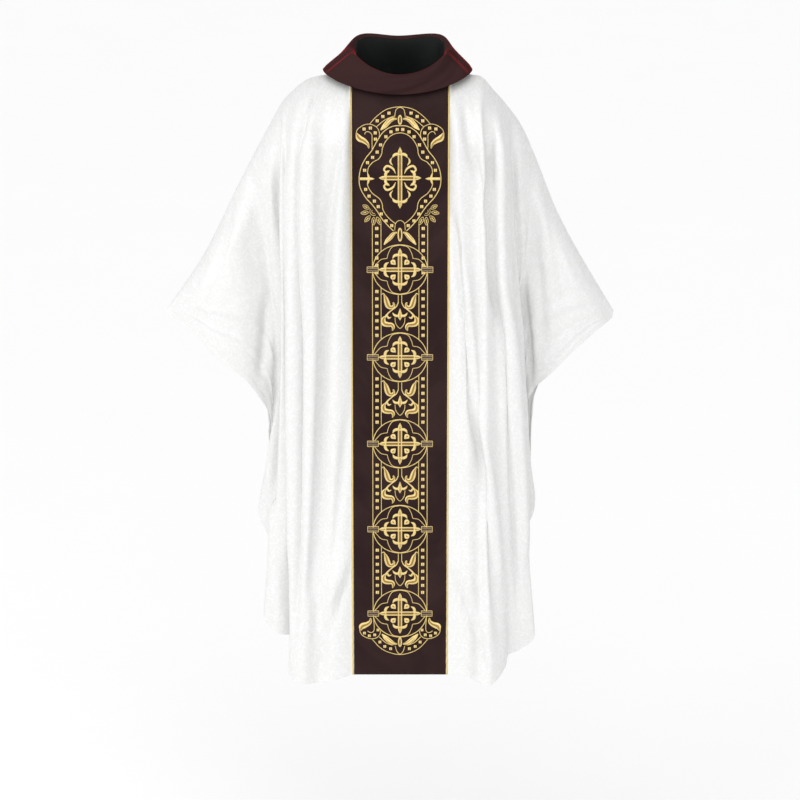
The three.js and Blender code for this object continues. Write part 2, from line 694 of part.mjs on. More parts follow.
[FRONT, BACK].forEach((face) => {
  addBody(face);
  addOrphrey(face);
  addEmbroidery(face);
});
SIDES.forEach(addShoulderTape);
addCollar();

export default group;
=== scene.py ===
"""A gothic chasuble: white damask panels, velvet orphreys and cowl collar, gold cord and embroidery."""

import math

import bpy
import numpy as np
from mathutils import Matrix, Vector


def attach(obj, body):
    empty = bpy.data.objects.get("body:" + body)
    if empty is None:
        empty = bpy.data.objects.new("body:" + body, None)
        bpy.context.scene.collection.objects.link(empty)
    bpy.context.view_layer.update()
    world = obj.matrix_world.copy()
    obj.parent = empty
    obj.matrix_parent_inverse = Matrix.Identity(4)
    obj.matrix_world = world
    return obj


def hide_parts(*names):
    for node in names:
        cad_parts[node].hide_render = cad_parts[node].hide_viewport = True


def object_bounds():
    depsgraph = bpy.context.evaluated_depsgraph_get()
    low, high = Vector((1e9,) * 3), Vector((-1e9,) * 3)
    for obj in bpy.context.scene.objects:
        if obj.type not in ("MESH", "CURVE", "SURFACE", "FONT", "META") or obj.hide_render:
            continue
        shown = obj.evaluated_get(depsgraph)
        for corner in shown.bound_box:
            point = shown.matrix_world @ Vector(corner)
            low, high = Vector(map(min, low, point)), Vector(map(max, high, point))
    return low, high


bl_info = {
    "name": "Gothic chasuble",
    "version": (1, 0, 0),
    "blender": (4, 2, 0),
    "location": "3D View > Sidebar > Chasuble",
    "description": "Drapes a white damask chasuble with velvet orphreys, a cowl collar and embroidery",
    "category": "Add Mesh",
}

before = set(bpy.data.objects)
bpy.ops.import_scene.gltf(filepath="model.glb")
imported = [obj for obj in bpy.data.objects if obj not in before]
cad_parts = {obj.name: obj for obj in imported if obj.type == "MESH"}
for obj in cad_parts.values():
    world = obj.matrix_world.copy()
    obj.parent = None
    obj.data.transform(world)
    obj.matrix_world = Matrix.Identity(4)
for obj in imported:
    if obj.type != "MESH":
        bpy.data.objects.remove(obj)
cad_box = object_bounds()

MM = 0.001
ROOT = "root"

# Cut of the garment, in millimetres from the middle of the neck opening
PANEL_HALF = 102.9
NECK_HALF = 111.9
ORPHREY_HALF = 98.5
NECK_SIDE_HEIGHT = 14
CHEST_LEVEL = 60
DROP_EASE = 2.2
SEAM_HALF_GAP = 0.2
CLOTH = 1.4
VELVET = 1.6
LAYER_GAP = 0.4
CORD_RADIUS = 1.8
CORD_GAP = 0.4
CORD_TURN = 9.0
HEM_BAND = 0.7
HEM_RISE = 0.015
HEM_FOOT_SHARE = 0.9992
HEM_INSET = 0.8
CANVAS = 1.0
TAPE_HALF = 6
TAPE_BELOW_SEAM = 3
WAVE_RUN = 0.16
TIP_EASE = 2.6

FACES = {
    "front": {
        "toward": -1, "drop": 1258, "chest": 141, "hem": 168, "depth": 105, "dip": 4,
    },
    "back": {
        "toward": 1, "drop": 1253, "chest": 118, "hem": 140, "depth": 88, "dip": 2,
    },
}

# One fold a row: distance out at the top, then out, forward and rounding at half height,
# then out, forward and height at the hem
RIGHT_FOLDS = [
    (103, 103, 157, 100, 103, 168, -1258), (112, 135, 166, 130, 140, 178, -1268),
    (150, 168, 150, 130, 172, 168, -1276), (194, 203, 166, 130, 208, 178, -1275),
    (219, 230, 158, 130, 237, 160, -1258), (234, 236, 130, 130, 228, 124, -1192),
    (246, 251, 134, 130, 264, 124, -1178), (256, 262, 120, 130, 293, 104, -1140),
    (268, 243, 92, 110, 258, 78, -1062), (285, 256, 80, 95, 286, 58, -976),
    (300, 262, 70, 85, 306, 40, -932), (318, 268, 56, 80, 284, 36, -818),
    (340, 290, 64, 80, 277, 42, -724), (362, 326, 74, 75, 306, 60, -662),
    (388, 358, 74, 70, 336, 68, -624), (426, 404, 62, 65, 389, 62, -584),
    (464, 453, 38, 60, 444, 40, -528), (496, 494, 10, 60, 491, 12, -506),
]
LEFT_FOLDS = [
    (103, 103, 157, 100, 103, 168, -1258), (112, 138, 168, 130, 143, 176, -1259),
    (148, 164, 156, 130, 168, 170, -1275), (170, 182, 162, 130, 194, 180, -1280),
    (186, 204, 142, 130, 224, 148, -1252), (200, 226, 148, 130, 234, 122, -1230),
    (212, 242, 138, 130, 258, 118, -1220), (223, 250, 120, 130, 290, 104, -1188),
    (238, 228, 94, 115, 254, 80, -1100), (254, 244, 82, 100, 262, 58, -988),
    (270, 262, 70, 90, 291, 42, -915), (286, 264, 60, 85, 276, 38, -780),
    (303, 274, 62, 80, 270, 44, -700), (322, 296, 72, 75, 284, 58, -656),
    (345, 328, 72, 70, 322, 66, -616), (380, 372, 62, 65, 374, 60, -565),
    (420, 420, 38, 60, 424, 38, -526), (455, 454, 10, 60, 452, 12, -510),
]
BACK_FOLDS = [
    (103, 103, 130, 100, 103, 140, -1253), (112, 136, 134, 130, 142, 152, -1263),
    (156, 170, 116, 130, 174, 134, -1268), (190, 204, 132, 130, 211, 148, -1265),
    (216, 230, 112, 125, 238, 124, -1242), (234, 226, 84, 115, 230, 92, -1186),
    (256, 254, 84, 105, 274, 84, -1136), (276, 240, 60, 95, 252, 58, -1045),
    (300, 256, 60, 85, 286, 38, -963), (322, 266, 54, 80, 284, 36, -816),
    (348, 294, 60, 75, 290, 46, -702), (382, 346, 66, 70, 330, 60, -630),
    (424, 404, 52, 65, 396, 50, -580), (464, 452, 32, 60, 444, 30, -530),
    (496, 494, 9, 60, 491, 10, -506),
]
RIGHT_SHOULDER = [
    (112, 14), (161, 9), (194, 0), (218, -17), (246, -45), (264, -76), (332, -204),
    (415, -370), (496, -491),
]
LEFT_SHOULDER = [
    (112, 14), (150, 10), (173, 4), (195, -21), (223, -52), (258, -102), (286, -165),
    (327, -268), (372, -356), (455, -496),
]
SIDES = {
    "right": {"sign": -1, "shoulder": RIGHT_SHOULDER, "folds": RIGHT_FOLDS},
    "left": {"sign": 1, "shoulder": LEFT_SHOULDER, "folds": LEFT_FOLDS},
}

# Soft creases pressed into the hanging panels: depth, half width, then out and height along it
CREASES = {
    "front_right": [
        (-13, 6, [(250, -40), (259, -189), (261, -317), (256, -445), (258, -531), (265, -706),
                  (275, -930)]),
        (-9, 9, [(191, 7), (203, -52), (214, -143), (218, -270), (211, -406), (202, -526), (207, -788),
                 (216, -1010), (235, -1250)]),
        (5, 9, [(231, -120), (235, -270), (230, -526), (237, -788), (244, -1055)]),
        (5, 11, [(178, -60), (186, -270), (180, -526), (186, -788), (198, -1255)]),
        (-8, 11, [(121, -60), (140, -198), (153, -308), (158, -436), (168, -651), (180, -915), (196, -1130)]),
        (-9, 7, [(92, -1010), (125, -1078), (154, -1172), (183, -1290)]),
        (5, 9, [(92, -960), (128, -1030), (160, -1120), (190, -1230)]),
        (-5, 10, [(108, -660), (124, -833), (138, -957), (149, -1073)]),
        (-7, 7, [(158, 10), (186, -32), (196, -65), (202, -110)]),
        (-4, 16, [(340, -190), (375, -347), (402, -480)]),
        (-6, 11, [(281, -430), (288, -546), (302, -660)]),
    ],
    "front_left": [
        (-8, 7, [(172, 0), (185, -143), (187, -287), (193, -406), (214, -526), (229, -700), (237, -832),
                  (247, -1010), (257, -1190)]),
        (6, 9, [(199, -40), (208, -143), (210, -287), (216, -406), (237, -526), (252, -700), (262, -832),
                (270, -1040)]),
        (-8, 6, [(234, -60), (246, -276), (263, -447), (279, -621), (285, -797), (287, -920)]),
        (-8, 8, [(108, -230), (121, -401), (138, -521), (149, -651), (171, -782), (191, -959), (216, -1230)]),
        (5, 9, [(134, -330), (150, -521), (168, -690), (196, -860), (216, -1100)]),
        (-10, 7, [(92, -1020), (141, -1109), (174, -1209), (202, -1300)]),
        (5, 9, [(92, -980), (150, -1070), (190, -1180)]),
        (-6, 9, [(128, 0), (146, -116), (171, -209), (187, -300)]),
        (-4, 14, [(308, -170), (324, -312), (342, -424), (368, -530)]),
        (-5, 12, [(287, -330), (300, -480), (306, -600)]),
    ],
    "back_right": [
        (-10, 8, [(170, -20), (196, -200), (206, -500), (212, -800), (226, -1240)]),
        (-8, 9, [(124, -90), (146, -400), (160, -800), (176, -1250)]),
        (5, 10, [(148, -60), (172, -400), (186, -800), (204, -1240)]),
        (-10, 8, [(244, -80), (258, -300), (262, -560), (268, -900)]),
        (-4, 15, [(345, -200), (385, -380), (410, -500)]),
    ],
    "back_left": [
        (-10, 8, [(164, -20), (190, -220), (202, -520), (210, -800), (224, -1240)]),
        (-8, 9, [(128, -120), (144, -420), (164, -800), (182, -1250)]),
        (5, 10, [(146, -60), (168, -400), (184, -800), (206, -1240)]),
        (-9, 8, [(232, -80), (250, -300), (260, -560), (268, -900)]),
        (-4, 15, [(320, -200), (350, -340), (380, -470)]),
    ],
}


def lerp(a, b, share):
    return a + (b - a) * share


def eased(value):
    """A smooth step from 0 to 1."""
    value = np.clip(value, 0, 1)
    return value * value * (3 - 2 * value)


def unit(vectors):
    return vectors / np.maximum(np.linalg.norm(vectors, axis=-1, keepdims=True), 1e-12)


def smooth_line(points, places):
    """Points of a smooth line through the given ones, at places counted in points."""
    points = np.asarray(points, float)
    ends = [2 * points[0] - points[1], 2 * points[-1] - points[-2]]
    padded = np.concatenate([[ends[0]], points, [ends[1]]])
    places = np.clip(np.asarray(places, float), 0, len(points) - 1)
    i = np.minimum(places.astype(int), len(points) - 2)
    w = places - i
    if points.ndim > 1:
        w = w[:, None]
    a, b, c, d = padded[i], padded[i + 1], padded[i + 2], padded[i + 3]
    curve = 2 * b + (c - a) * w + (2 * a - 5 * b + 4 * c - d) * w**2
    return 0.5 * (curve + (3 * b - a - 3 * c + d) * w**3)


def height_along(line, out):
    """Height of a smooth line through points of distance out and height."""
    x, y = np.array(line, float).T
    slope = np.empty(len(x))
    slope[1:-1] = (y[2:] - y[:-2]) / (x[2:] - x[:-2])
    slope[0] = (y[1] - y[0]) / (x[1] - x[0])
    slope[-1] = (y[-1] - y[-2]) / (x[-1] - x[-2])
    after = np.clip(np.searchsorted(x, out), 1, len(x) - 1)
    span = x[after] - x[after - 1]
    t = np.clip((out - x[after - 1]) / span, 0, 1)
    start = y[after - 1] * (2 * t**3 - 3 * t**2 + 1) + slope[after - 1] * span * (t**3 - 2 * t**2 + t)
    return start + y[after] * (3 * t**2 - 2 * t**3) + slope[after] * span * (t**3 - t**2)


def rounded(drop, over):
    """How far a cloth has rounded over from its top edge after a drop."""
    left = 1 - np.clip(drop / over, 0, 1)
    return np.sqrt(1 - left * left)


def neck_height(out, dip):
    return lerp(-dip, NECK_SIDE_HEIGHT, np.minimum(1, (out / NECK_HALF) ** 2))


def centre_forward(face, out, z):
    """Distance forward of the orphrey's mid surface at a distance out and a height."""
    top = neck_height(out, face["dip"])
    hanging = lerp(face["chest"], face["hem"], (-z - CHEST_LEVEL) / (face["drop"] - CHEST_LEVEL))
    over = 30 + 65 * (out / PANEL_HALF) ** 2
    start = face["depth"] * np.sqrt(np.maximum(0, 1 - (out / NECK_HALF) ** 2))
    return start + (hanging - start) * rounded(np.maximum(top - z, 0), over)


def folds_for(face_name, side):
    """The fold table of a panel; the back's is narrowed to the shorter left arm."""
    if face_name == "front":
        return np.array(side["folds"], float)
    table = np.array(BACK_FOLDS, float)
    corner, tip = side["shoulder"][0][0], table[-1, 0]
    narrow = (side["shoulder"][-1][0] - corner) / (tip - corner)
    far_tip = corner + (tip - corner) * narrow
    beyond = table[:, 0] > corner
    table[beyond, 0] = corner + (table[beyond, 0] - corner) * narrow
    for column in (1, 4):
        out = table[:, column]
        moved = lerp(300, far_tip, (out - 300) / (tip - 300))
        table[:, column] = np.where(out < 300, out, moved)
    return table


def crease_depth(creases, out, z):
    """Sum of the creases at each point: below zero is pressed in."""
    total = np.zeros_like(out)
    for depth, half_width, line in creases:
        upward = [(height, away) for away, height in line[::-1]]
        low, high = upward[0][0], upward[-1][0]
        middle = height_along(upward, np.clip(z, low, high))
        taper = min(90, 0.3 * (high - low))
        fade = eased((z - low) / taper) * eased((high - z) / taper)
        total += depth * fade * np.exp(-(((out - middle) / half_width) ** 2))
    return total


def waves(seed, u, v, count, short, long):
    """A few seeded waves over the cloth, each between two wavelengths."""
    rng = np.random.default_rng(seed)
    total = np.zeros_like(u)
    for _ in range(count):
        length = rng.uniform(short, long)
        turn = rng.uniform(-0.35, 0.35)
        start = rng.uniform(0, 2 * math.pi)
        total += np.sin(2 * math.pi * (u * math.cos(turn) + v * math.sin(turn)) / length + start)
    return total / count


def arc_lengths(grid, axis):
    steps = np.linalg.norm(np.diff(grid, axis=axis), axis=-1)
    zero = np.zeros_like(np.take(steps, [0], axis=axis))
    return np.concatenate([zero, np.cumsum(steps, axis=axis)], axis=axis)


def grid_normals(grid, toward):
    """Unit normals of a grid of points, on the side that toward points to at its middle."""
    across = np.gradient(grid, axis=1)
    down = np.gradient(grid, axis=0)
    normals = unit(np.cross(across, down))
    middle = normals[grid.shape[0] // 2, 1]
    return normals * np.sign(np.dot(middle, toward))


def panel_grid(face_name, side_name, places, shares):
    """The draped mid surface of one damask panel, a row for each share of the way down."""
    face, side = FACES[face_name], SIDES[side_name]
    table = folds_for(face_name, side)
    table[:, 0] = np.where(table[:, 0] <= 103, PANEL_HALF, table[:, 0] - 0.1)
    table[:, [1, 4]] = np.where(table[:, [1, 4]] <= 103, PANEL_HALF, table[:, [1, 4]] - 0.1)
    line = [(out - 0.1, z) for out, z in side["shoulder"]]
    folds = smooth_line(table, places)
    top_x, half_x, half_y, half_over, hem_x, hem_y, hem_z = folds.T
    top_z = np.where(top_x <= NECK_HALF, neck_height(top_x, face["dip"]), height_along(line, top_x))
    share = (shares**DROP_EASE)[:, None]
    near_top = (share - 0.5) * (share - 1) * 2
    near_half = share * (1 - share) * 4
    near_hem = share * (share - 0.5) * 2
    x = top_x * near_top + half_x * near_half + hem_x * near_hem
    z = lerp(top_z, hem_z, share)
    fall = lerp(half_y, hem_y, np.maximum(0, 2 * share - 1))
    y = SEAM_HALF_GAP + (fall - SEAM_HALF_GAP) * rounded(top_z - z, half_over)
    edge_z = lerp(neck_height(PANEL_HALF, face["dip"]), -face["drop"], share)
    edge_y = centre_forward(face, PANEL_HALF, edge_z)
    inward = np.clip(1 - places, 0, 1)
    x = lerp(x, PANEL_HALF, inward)
    y = lerp(y, edge_y, inward)
    z = lerp(z, edge_z, inward)
    return np.stack([side["sign"] * x, face["toward"] * y, z], axis=-1)


def draped_panel(face_name, side_name, places, shares, settings):
    """A panel with its creases, soft waves and the small puckers beside the cord."""
    face = FACES[face_name]
    grid = panel_grid(face_name, side_name, places, shares)
    normals = grid_normals(grid, (0, face["toward"], 0))
    u, v = arc_lengths(grid, 1), arc_lengths(grid, 0)
    last = len(folds_for(face_name, SIDES[side_name])) - 1
    seed = 11 * (face_name == "back") + 5 * (side_name == "left")
    free = eased(places / 0.35) * eased((last - places) / 1.2)
    settled = eased(shares / 0.22)[:, None]
    press = crease_depth(CREASES[f"{face_name}_{side_name}"], np.abs(grid[..., 0]), grid[..., 2])
    soft = settings.wave_depth / MM * waves(seed, u, v * WAVE_RUN, 7, 45, 150)
    pucker = 0.5 * waves(seed + 1, v, u * 0.2, 5, 16, 46) * np.exp(-u / 14)
    near_hem = 1 - 0.7 * eased((shares - 0.9) / 0.08)[:, None]
    calm_tip = eased((last - places) / TIP_EASE)
    hanging = (settings.crease * press * near_hem + soft * calm_tip) * free * settled
    lift = hanging + pucker * eased(places / 0.15) * settled
    return grid + normals * lift[..., None]


def new_object(name, points, faces, uvs=None, tones=None):
    """A mesh object with its place in its mesh, from points in millimetres."""
    mesh = bpy.data.meshes.new(name)
    points = np.asarray(points, float) * MM
    faces = [tuple(face) for face in faces]
    mesh.from_pydata(points.tolist(), [], faces)
    for label, values in (uvs or {}).items():
        layer = mesh.uv_layers.new(name=label)
        corners = np.zeros(len(mesh.loops), int)
        mesh.loops.foreach_get("vertex_index", corners)
        layer.data.foreach_set("uv", (np.asarray(values, float) * MM)[corners].ravel())
    if tones is not None:
        mesh.polygons.foreach_set("material_index", np.asarray(tones, int))
    mesh.update()
    made = bpy.data.objects.new(name, mesh)
    bpy.context.collection.objects.link(made)
    return made


def signed_volume(points, faces):
    a, b, c = points[faces[:, 0]], points[faces[:, 1]], points[faces[:, 2]]
    volume = np.einsum("ij,ij->i", a, np.cross(b, c)).sum()
    if faces.shape[1] == 4:
        d = points[faces[:, 3]]
        volume += np.einsum("ij,ij->i", a, np.cross(c, d)).sum()
    return volume


def closed_sheet(name, outer, inner, uvs, ring=False):
    """A closed cloth between two layers of points; a ring closes on itself across."""
    rows, columns = outer.shape[:2]
    points = np.concatenate([outer.reshape(-1, 3), inner.reshape(-1, 3)])
    index = np.arange(rows * columns).reshape(rows, columns)
    if ring:
        index = np.concatenate([index, index[:, :1]], axis=1)
    far = index + rows * columns
    quads = [
        np.stack([index[:-1, :-1], index[:-1, 1:], index[1:, 1:], index[1:, :-1]], -1),
        np.stack([far[:-1, :-1], far[1:, :-1], far[1:, 1:], far[:-1, 1:]], -1),
        np.stack([far[0, :-1], far[0, 1:], index[0, 1:], index[0, :-1]], -1)[None],
        np.stack([index[-1, :-1], index[-1, 1:], far[-1, 1:], far[-1, :-1]], -1)[None],
    ]
    if not ring:
        quads.append(np.stack([index[:-1, 0], index[1:, 0], far[1:, 0], far[:-1, 0]], -1)[None])
        quads.append(np.stack([far[:-1, -1], far[1:, -1], index[1:, -1], index[:-1, -1]], -1)[None])
    faces = np.concatenate([q.reshape(-1, 4) for q in quads])
    if signed_volume(points, faces) < 0:
        faces = faces[:, ::-1]
    doubled = {label: np.concatenate([uv.reshape(-1, 2)] * 2) for label, uv in uvs.items()}
    return new_object(name, points, faces, doubled)


def finished(made, nodes, materials, angle=50):
    """Gives a piece its finishes, its smooth shading and its place in the frame."""
    for material in materials:
        made.data.materials.append(material)
    bpy.ops.object.select_all(action="DESELECT")
    made.select_set(True)
    bpy.context.view_layer.objects.active = made
    bpy.ops.object.shade_smooth_by_angle(angle=math.radians(angle))
    made.select_set(False)
    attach(made, ROOT)
    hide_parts(*nodes)
    return made


def sheet_area(grid):
    """Area of a grid of points, in square metres."""
    across, down = np.diff(grid, axis=1)[:-1], np.diff(grid, axis=0)[:, :-1]
    return float(np.linalg.norm(np.cross(across, down), axis=-1).sum()) * MM * MM


def declare_sheet(made, grid, held, rests_on, with_pieces=(), rows=slice(None)):
    """Works out the size that a sheet was cut to, its widest row, its longest column and its area, but keeps
    none of them.
    """
    wide = arc_lengths(grid, 1)[rows, -1].max() * MM
    long = arc_lengths(grid, 0)[-1].max() * MM
    area = min(sheet_area(grid), wide * long)


# ---------------------------------------------------------------- finishes


class Finish:
    """A node material under construction."""

    def __init__(self, name, **sockets):
        self.material = bpy.data.materials.new(name)
        self.material.use_nodes = True
        self.tree = self.material.node_tree
        self.shader = self.tree.nodes["Principled BSDF"]
        for label, value in sockets.items():
            self.shader.inputs[label.replace("_", " ")].default_value = value

    def node(self, kind, inputs=(), **settings):
        made = self.tree.nodes.new(kind)
        for label, value in settings.items():
            setattr(made, label, value)
        for label, value in dict(inputs).items():
            socket = made.inputs[label]
            if isinstance(value, bpy.types.NodeSocket):
                self.tree.links.new(value, socket)
            else:
                socket.default_value = value
        return made

    def coordinates(self, uv=None):
        if uv:
            return self.node("ShaderNodeUVMap", uv_map=uv).outputs["UV"]
        return self.node("ShaderNodeTexCoord").outputs["Object"]

    def noise(self, where, scale, detail=2.0, roughness=0.5, distortion=0.0):
        inputs = {
            "Vector": where, "Scale": scale, "Detail": detail, "Roughness": roughness,
            "Distortion": distortion,
        }
        return self.node("ShaderNodeTexNoise", inputs).outputs["Fac"]

    def cells(self, where, scale, feature="F1", randomness=1.0):
        inputs = {"Vector": where, "Scale": scale, "Randomness": randomness}
        return self.node("ShaderNodeTexVoronoi", inputs, feature=feature).outputs["Distance"]

    def stripes(self, where, scale, direction, distortion=0.0):
        inputs = {"Vector": where, "Scale": scale, "Distortion": distortion}
        settings = {"wave_type": "BANDS", "bands_direction": direction}
        return self.node("ShaderNodeTexWave", inputs, **settings).outputs["Fac"]

    def maths(self, operation, a, b=0.0, c=0.0):
        made = self.node("ShaderNodeMath", {0: a, 1: b, 2: c}, operation=operation)
        return made.outputs[0]

    def between(self, value, low, high, out_low=0.0, out_high=1.0):
        inputs = {"Value": value, "From Min": low, "From Max": high, "To Min": out_low,
                  "To Max": out_high}
        made = self.node("ShaderNodeMapRange", inputs, interpolation_type="SMOOTHSTEP")
        return made.outputs["Result"]

    def mix(self, share, a, b):
        made = self.node("ShaderNodeMix", data_type="RGBA")
        for i, value in ((0, share), (6, a), (7, b)):
            if isinstance(value, bpy.types.NodeSocket):
                self.tree.links.new(value, made.inputs[i])
            else:
                made.inputs[i].default_value = value
        return made.outputs[2]

    def shift(self, where, by, amount):
        """Moves coordinates about by a colour, so that a pattern bends."""
        centred = self.node("ShaderNodeVectorMath", {0: by, 1: (0.5, 0.5, 0.5)}, operation="SUBTRACT")
        inputs = {0: centred.outputs[0], 1: (amount, amount, amount), 2: where}
        return self.node("ShaderNodeVectorMath", inputs, operation="MULTIPLY_ADD").outputs[0]

    def to(self, label, socket):
        self.tree.links.new(socket, self.shader.inputs[label])

    def bump(self, *layers):
        """Layers of height, each with its strength and its distance in metres."""
        normal = None
        for height, strength, distance in layers:
            inputs = {"Height": height, "Strength": strength, "Distance": distance}
            if normal is not None:
                inputs["Normal"] = normal
            normal = self.node("ShaderNodeBump", inputs).outputs["Normal"]
        self.to("Normal", normal)


def colour(value):
    return (*value, 1.0)


def damask_finish(settings):
    """White silk damask: matt ground, satin scrolls, a fine weave and a stitched hem."""
    f = Finish("silk_damask", Sheen_Weight=0.12, Sheen_Roughness=0.4, Sheen_Tint=(1, 1, 1, 1))
    cloth = f.coordinates("cloth")
    bend = f.node("ShaderNodeTexNoise", {"Vector": cloth, "Scale": 40.0, "Detail": 1.5}).outputs["Color"]
    bent = f.shift(cloth, bend, 0.02)
    petals = f.cells(bent, 34.0, randomness=0.7)
    rings = f.maths("SINE", f.maths("MULTIPLY", petals, 30.0))
    veins = f.cells(f.shift(cloth, bend, 0.03), 80.0, feature="DISTANCE_TO_EDGE")
    leaf = f.between(f.noise(bent, 80.0, 1.0, 0.4, 0.8), 0.46, 0.54)
    scroll = f.between(rings, -0.05, 0.3)
    edge = f.between(veins, 0.02, 0.09)
    curls = f.maths("MULTIPLY", scroll, leaf)
    stems = f.maths("MULTIPLY", f.maths("SUBTRACT", 1.0, edge), 0.7)
    figure = f.maths("MAXIMUM", curls, stems)
    tint = f.mix(figure, colour(settings.damask_ground), colour(settings.damask_figure))
    age = f.noise(cloth, 3.0, 2.0)
    aged = colour((0.67, 0.675, 0.66))
    f.to("Base Color", f.mix(f.between(age, 0.3, 0.7, 0.0, 0.12), tint, aged))
    f.to("Roughness", f.between(figure, 0.0, 1.0, 0.62, 0.34))
    warp = f.stripes(cloth, 560.0, "X")
    weft = f.stripes(cloth, 560.0, "Y")
    weave = f.maths("MULTIPLY", warp, weft)
    hem = f.node("ShaderNodeSeparateXYZ", {0: f.coordinates("edge")})
    up = hem.outputs["Y"]
    turned = f.between(up, 0.0195, 0.0215, 1.0, 0.0)
    seam = f.maths("ABSOLUTE", f.maths("SUBTRACT", up, 0.0185))
    stitch = f.stripes(f.coordinates("edge"), 105.0, "X")
    sewn = f.maths("MULTIPLY", f.between(seam, 0.0004, 0.0014, 1.0, 0.0), f.between(stitch, 0.2, 0.6))
    f.bump(
        (weave, 0.12, 0.0002),
        (figure, 0.25, 0.0005),
        (turned, 0.35, 0.0007),
        (f.maths("SUBTRACT", 1.0, sewn), 0.4, 0.0006),
    )
    return f.material


def velvet_finish(settings, name, warmth, glow):
    """Dark cotton velvet whose pile catches red light where it turns away; a share of that red sheen colour
    is also painted into the base colour.
    """
    f = Finish(
        name, Sheen_Weight=settings.velvet_sheen * glow, Sheen_Roughness=0.22,
        Sheen_Tint=colour(settings.velvet_glow), Specular_IOR_Level=0.0,
    )
    where = f.coordinates("cloth")
    brushed = f.noise(where, 7.0, 3.0, 0.6, 0.4)
    base = settings.velvet
    # Painted sheen: the base colour is pushed toward the red sheen colour by the given share, which only the
    # collar uses.
    sheen_tinted_base = tuple(lerp(base[i], settings.velvet_glow[i], warmth) for i in range(3))
    dark = colour(tuple(0.8 * c for c in sheen_tinted_base))
    light = colour(tuple(1.2 * c for c in sheen_tinted_base))
    pile = f.noise(where, 1500.0, 2.0, 0.7)
    tint = f.mix(f.between(brushed, 0.35, 0.65), dark, light)
    # Painted shade: the colour darkens in the low spots of the fine pile, where the bump sinks between the
    # fibres.
    deep = colour(tuple(0.72 * c for c in sheen_tinted_base))
    f.to("Base Color", f.mix(f.between(pile, 0.35, 0.62, 0.45, 0.0), tint, deep))
    f.to("Roughness", f.between(brushed, 0.3, 0.7, 0.95, 0.8))
    f.bump((brushed, 0.12, 0.002), (pile, 0.35, 0.0006))
    return f.material


def thread_finish(name, tint, rough, settings):
    """Gold thread laid side by side across the length of a stroke."""
    f = Finish(name, Metallic=settings.thread_metal, Specular_IOR_Level=0.5)
    where = f.coordinates("thread")
    strand = f.stripes(where, 0.5 / settings.thread_pitch, "X", 1.2)
    fray = f.noise(where, 900.0, 3.0, 0.6)
    patch = f.noise(where, 90.0, 2.0, 0.5)
    dark = colour(tuple(0.62 * c for c in tint))
    light = colour(tuple(min(1.0, 1.12 * c) for c in tint))
    body = f.mix(f.between(patch, 0.3, 0.7), colour(tint), light)
    # Painted shade: the colour darkens in the grooves between the laid threads.
    f.to("Base Color", f.mix(f.between(strand, 0.0, 0.45, 0.55, 0.0), body, dark))
    f.to("Roughness", f.between(fray, 0.3, 0.7, rough, rough + 0.15))
    f.bump((strand, 0.5, 0.00025), (fray, 0.25, 0.0002))
    return f.material


def cord_finish(settings):
    """Twisted gold cord; the twist itself is in the mesh."""
    f = Finish("twisted_cord", Metallic=settings.thread_metal, Specular_IOR_Level=0.5)
    where = f.coordinates("thread")
    ply = f.stripes(where, 700.0, "DIAGONAL", 0.6)
    patch = f.noise(where, 60.0, 2.0)
    tint = settings.gold_line
    light = colour(tuple(min(1.0, 1.1 * c) for c in tint))
    dark = colour((0.6 * tint[0], 0.5 * tint[1], 0.4 * tint[2]))
    body = f.mix(f.between(patch, 0.3, 0.7), colour(tint), light)
    # Painted shade: the colour darkens in the grooves between the plies of the twist.
    f.to("Base Color", f.mix(f.between(ply, 0.0, 0.5, 0.4, 0.0), body, dark))
    f.to("Roughness", f.between(patch, 0.3, 0.7, 0.38, 0.5))
    f.bump((ply, 0.4, 0.0003))
    return f.material


def lining_finish(settings):
    """Dark twill lining."""
    f = Finish("twill_lining", Sheen_Weight=0.02, Sheen_Roughness=0.5, Specular_IOR_Level=0.12)
    where = f.coordinates("cloth")
    twill = f.stripes(where, 420.0, "DIAGONAL", 0.3)
    worn = f.noise(where, 14.0, 3.0)
    base = settings.lining
    light = colour(tuple(1.5 * c for c in base))
    f.to("Base Color", f.mix(f.between(worn, 0.3, 0.7), colour(base), light))
    f.to("Roughness", f.between(twill, 0.2, 0.8, 0.7, 0.5))
    f.bump((twill, 0.3, 0.0003), (worn, 0.2, 0.002))
    return f.material


def canvas_finish(settings):
    """Undyed plain-weave canvas."""
    f = Finish("plain_canvas", Sheen_Weight=0.15, Sheen_Roughness=0.6)
    where = f.coordinates("cloth")
    warp = f.stripes(where, 260.0, "X", 0.4)
    weft = f.stripes(where, 260.0, "Y", 0.4)
    weave = f.maths("MAXIMUM", warp, weft)
    slub = f.noise(where, 30.0, 3.0)
    base = settings.canvas
    dark = colour(tuple(0.8 * c for c in base))
    tint = f.mix(f.between(slub, 0.3, 0.7), dark, colour(base))
    # Painted shade: the colour darkens in the gaps between the woven threads; the slub mottling is the yarn's
    # own.
    f.to("Base Color", f.mix(f.between(weave, 0.1, 0.6, 0.35, 0.0), tint, dark))
    f.to("Roughness", f.between(slub, 0.3, 0.7, 0.75, 0.9))
    f.bump((weave, 0.4, 0.0005))
    return f.material


def shared(name, make, *facts):
    return bpy.data.materials.get(name) or make(*facts)


# ---------------------------------------------------------------- cloth pieces


def cloth_uv(grid):
    return np.stack([arc_lengths(grid, 1), -arc_lengths(grid, 0)], -1)


def panel_uv(grid):
    """Cloth coordinates of a panel: its breadth with the folds let out, and its height."""
    middle = grid[len(grid) // 2]
    let_out = arc_lengths(middle[None], 1)[0] - np.abs(middle[:, 0])
    return np.stack([np.abs(grid[..., 0]) + let_out, grid[..., 2]], -1)


def edge_uv(grid):
    """Distance along the hem and above it."""
    down = arc_lengths(grid, 0)
    along = np.broadcast_to(arc_lengths(grid[-1:], 1), down.shape)
    return np.stack([along, down[-1] - down], -1)


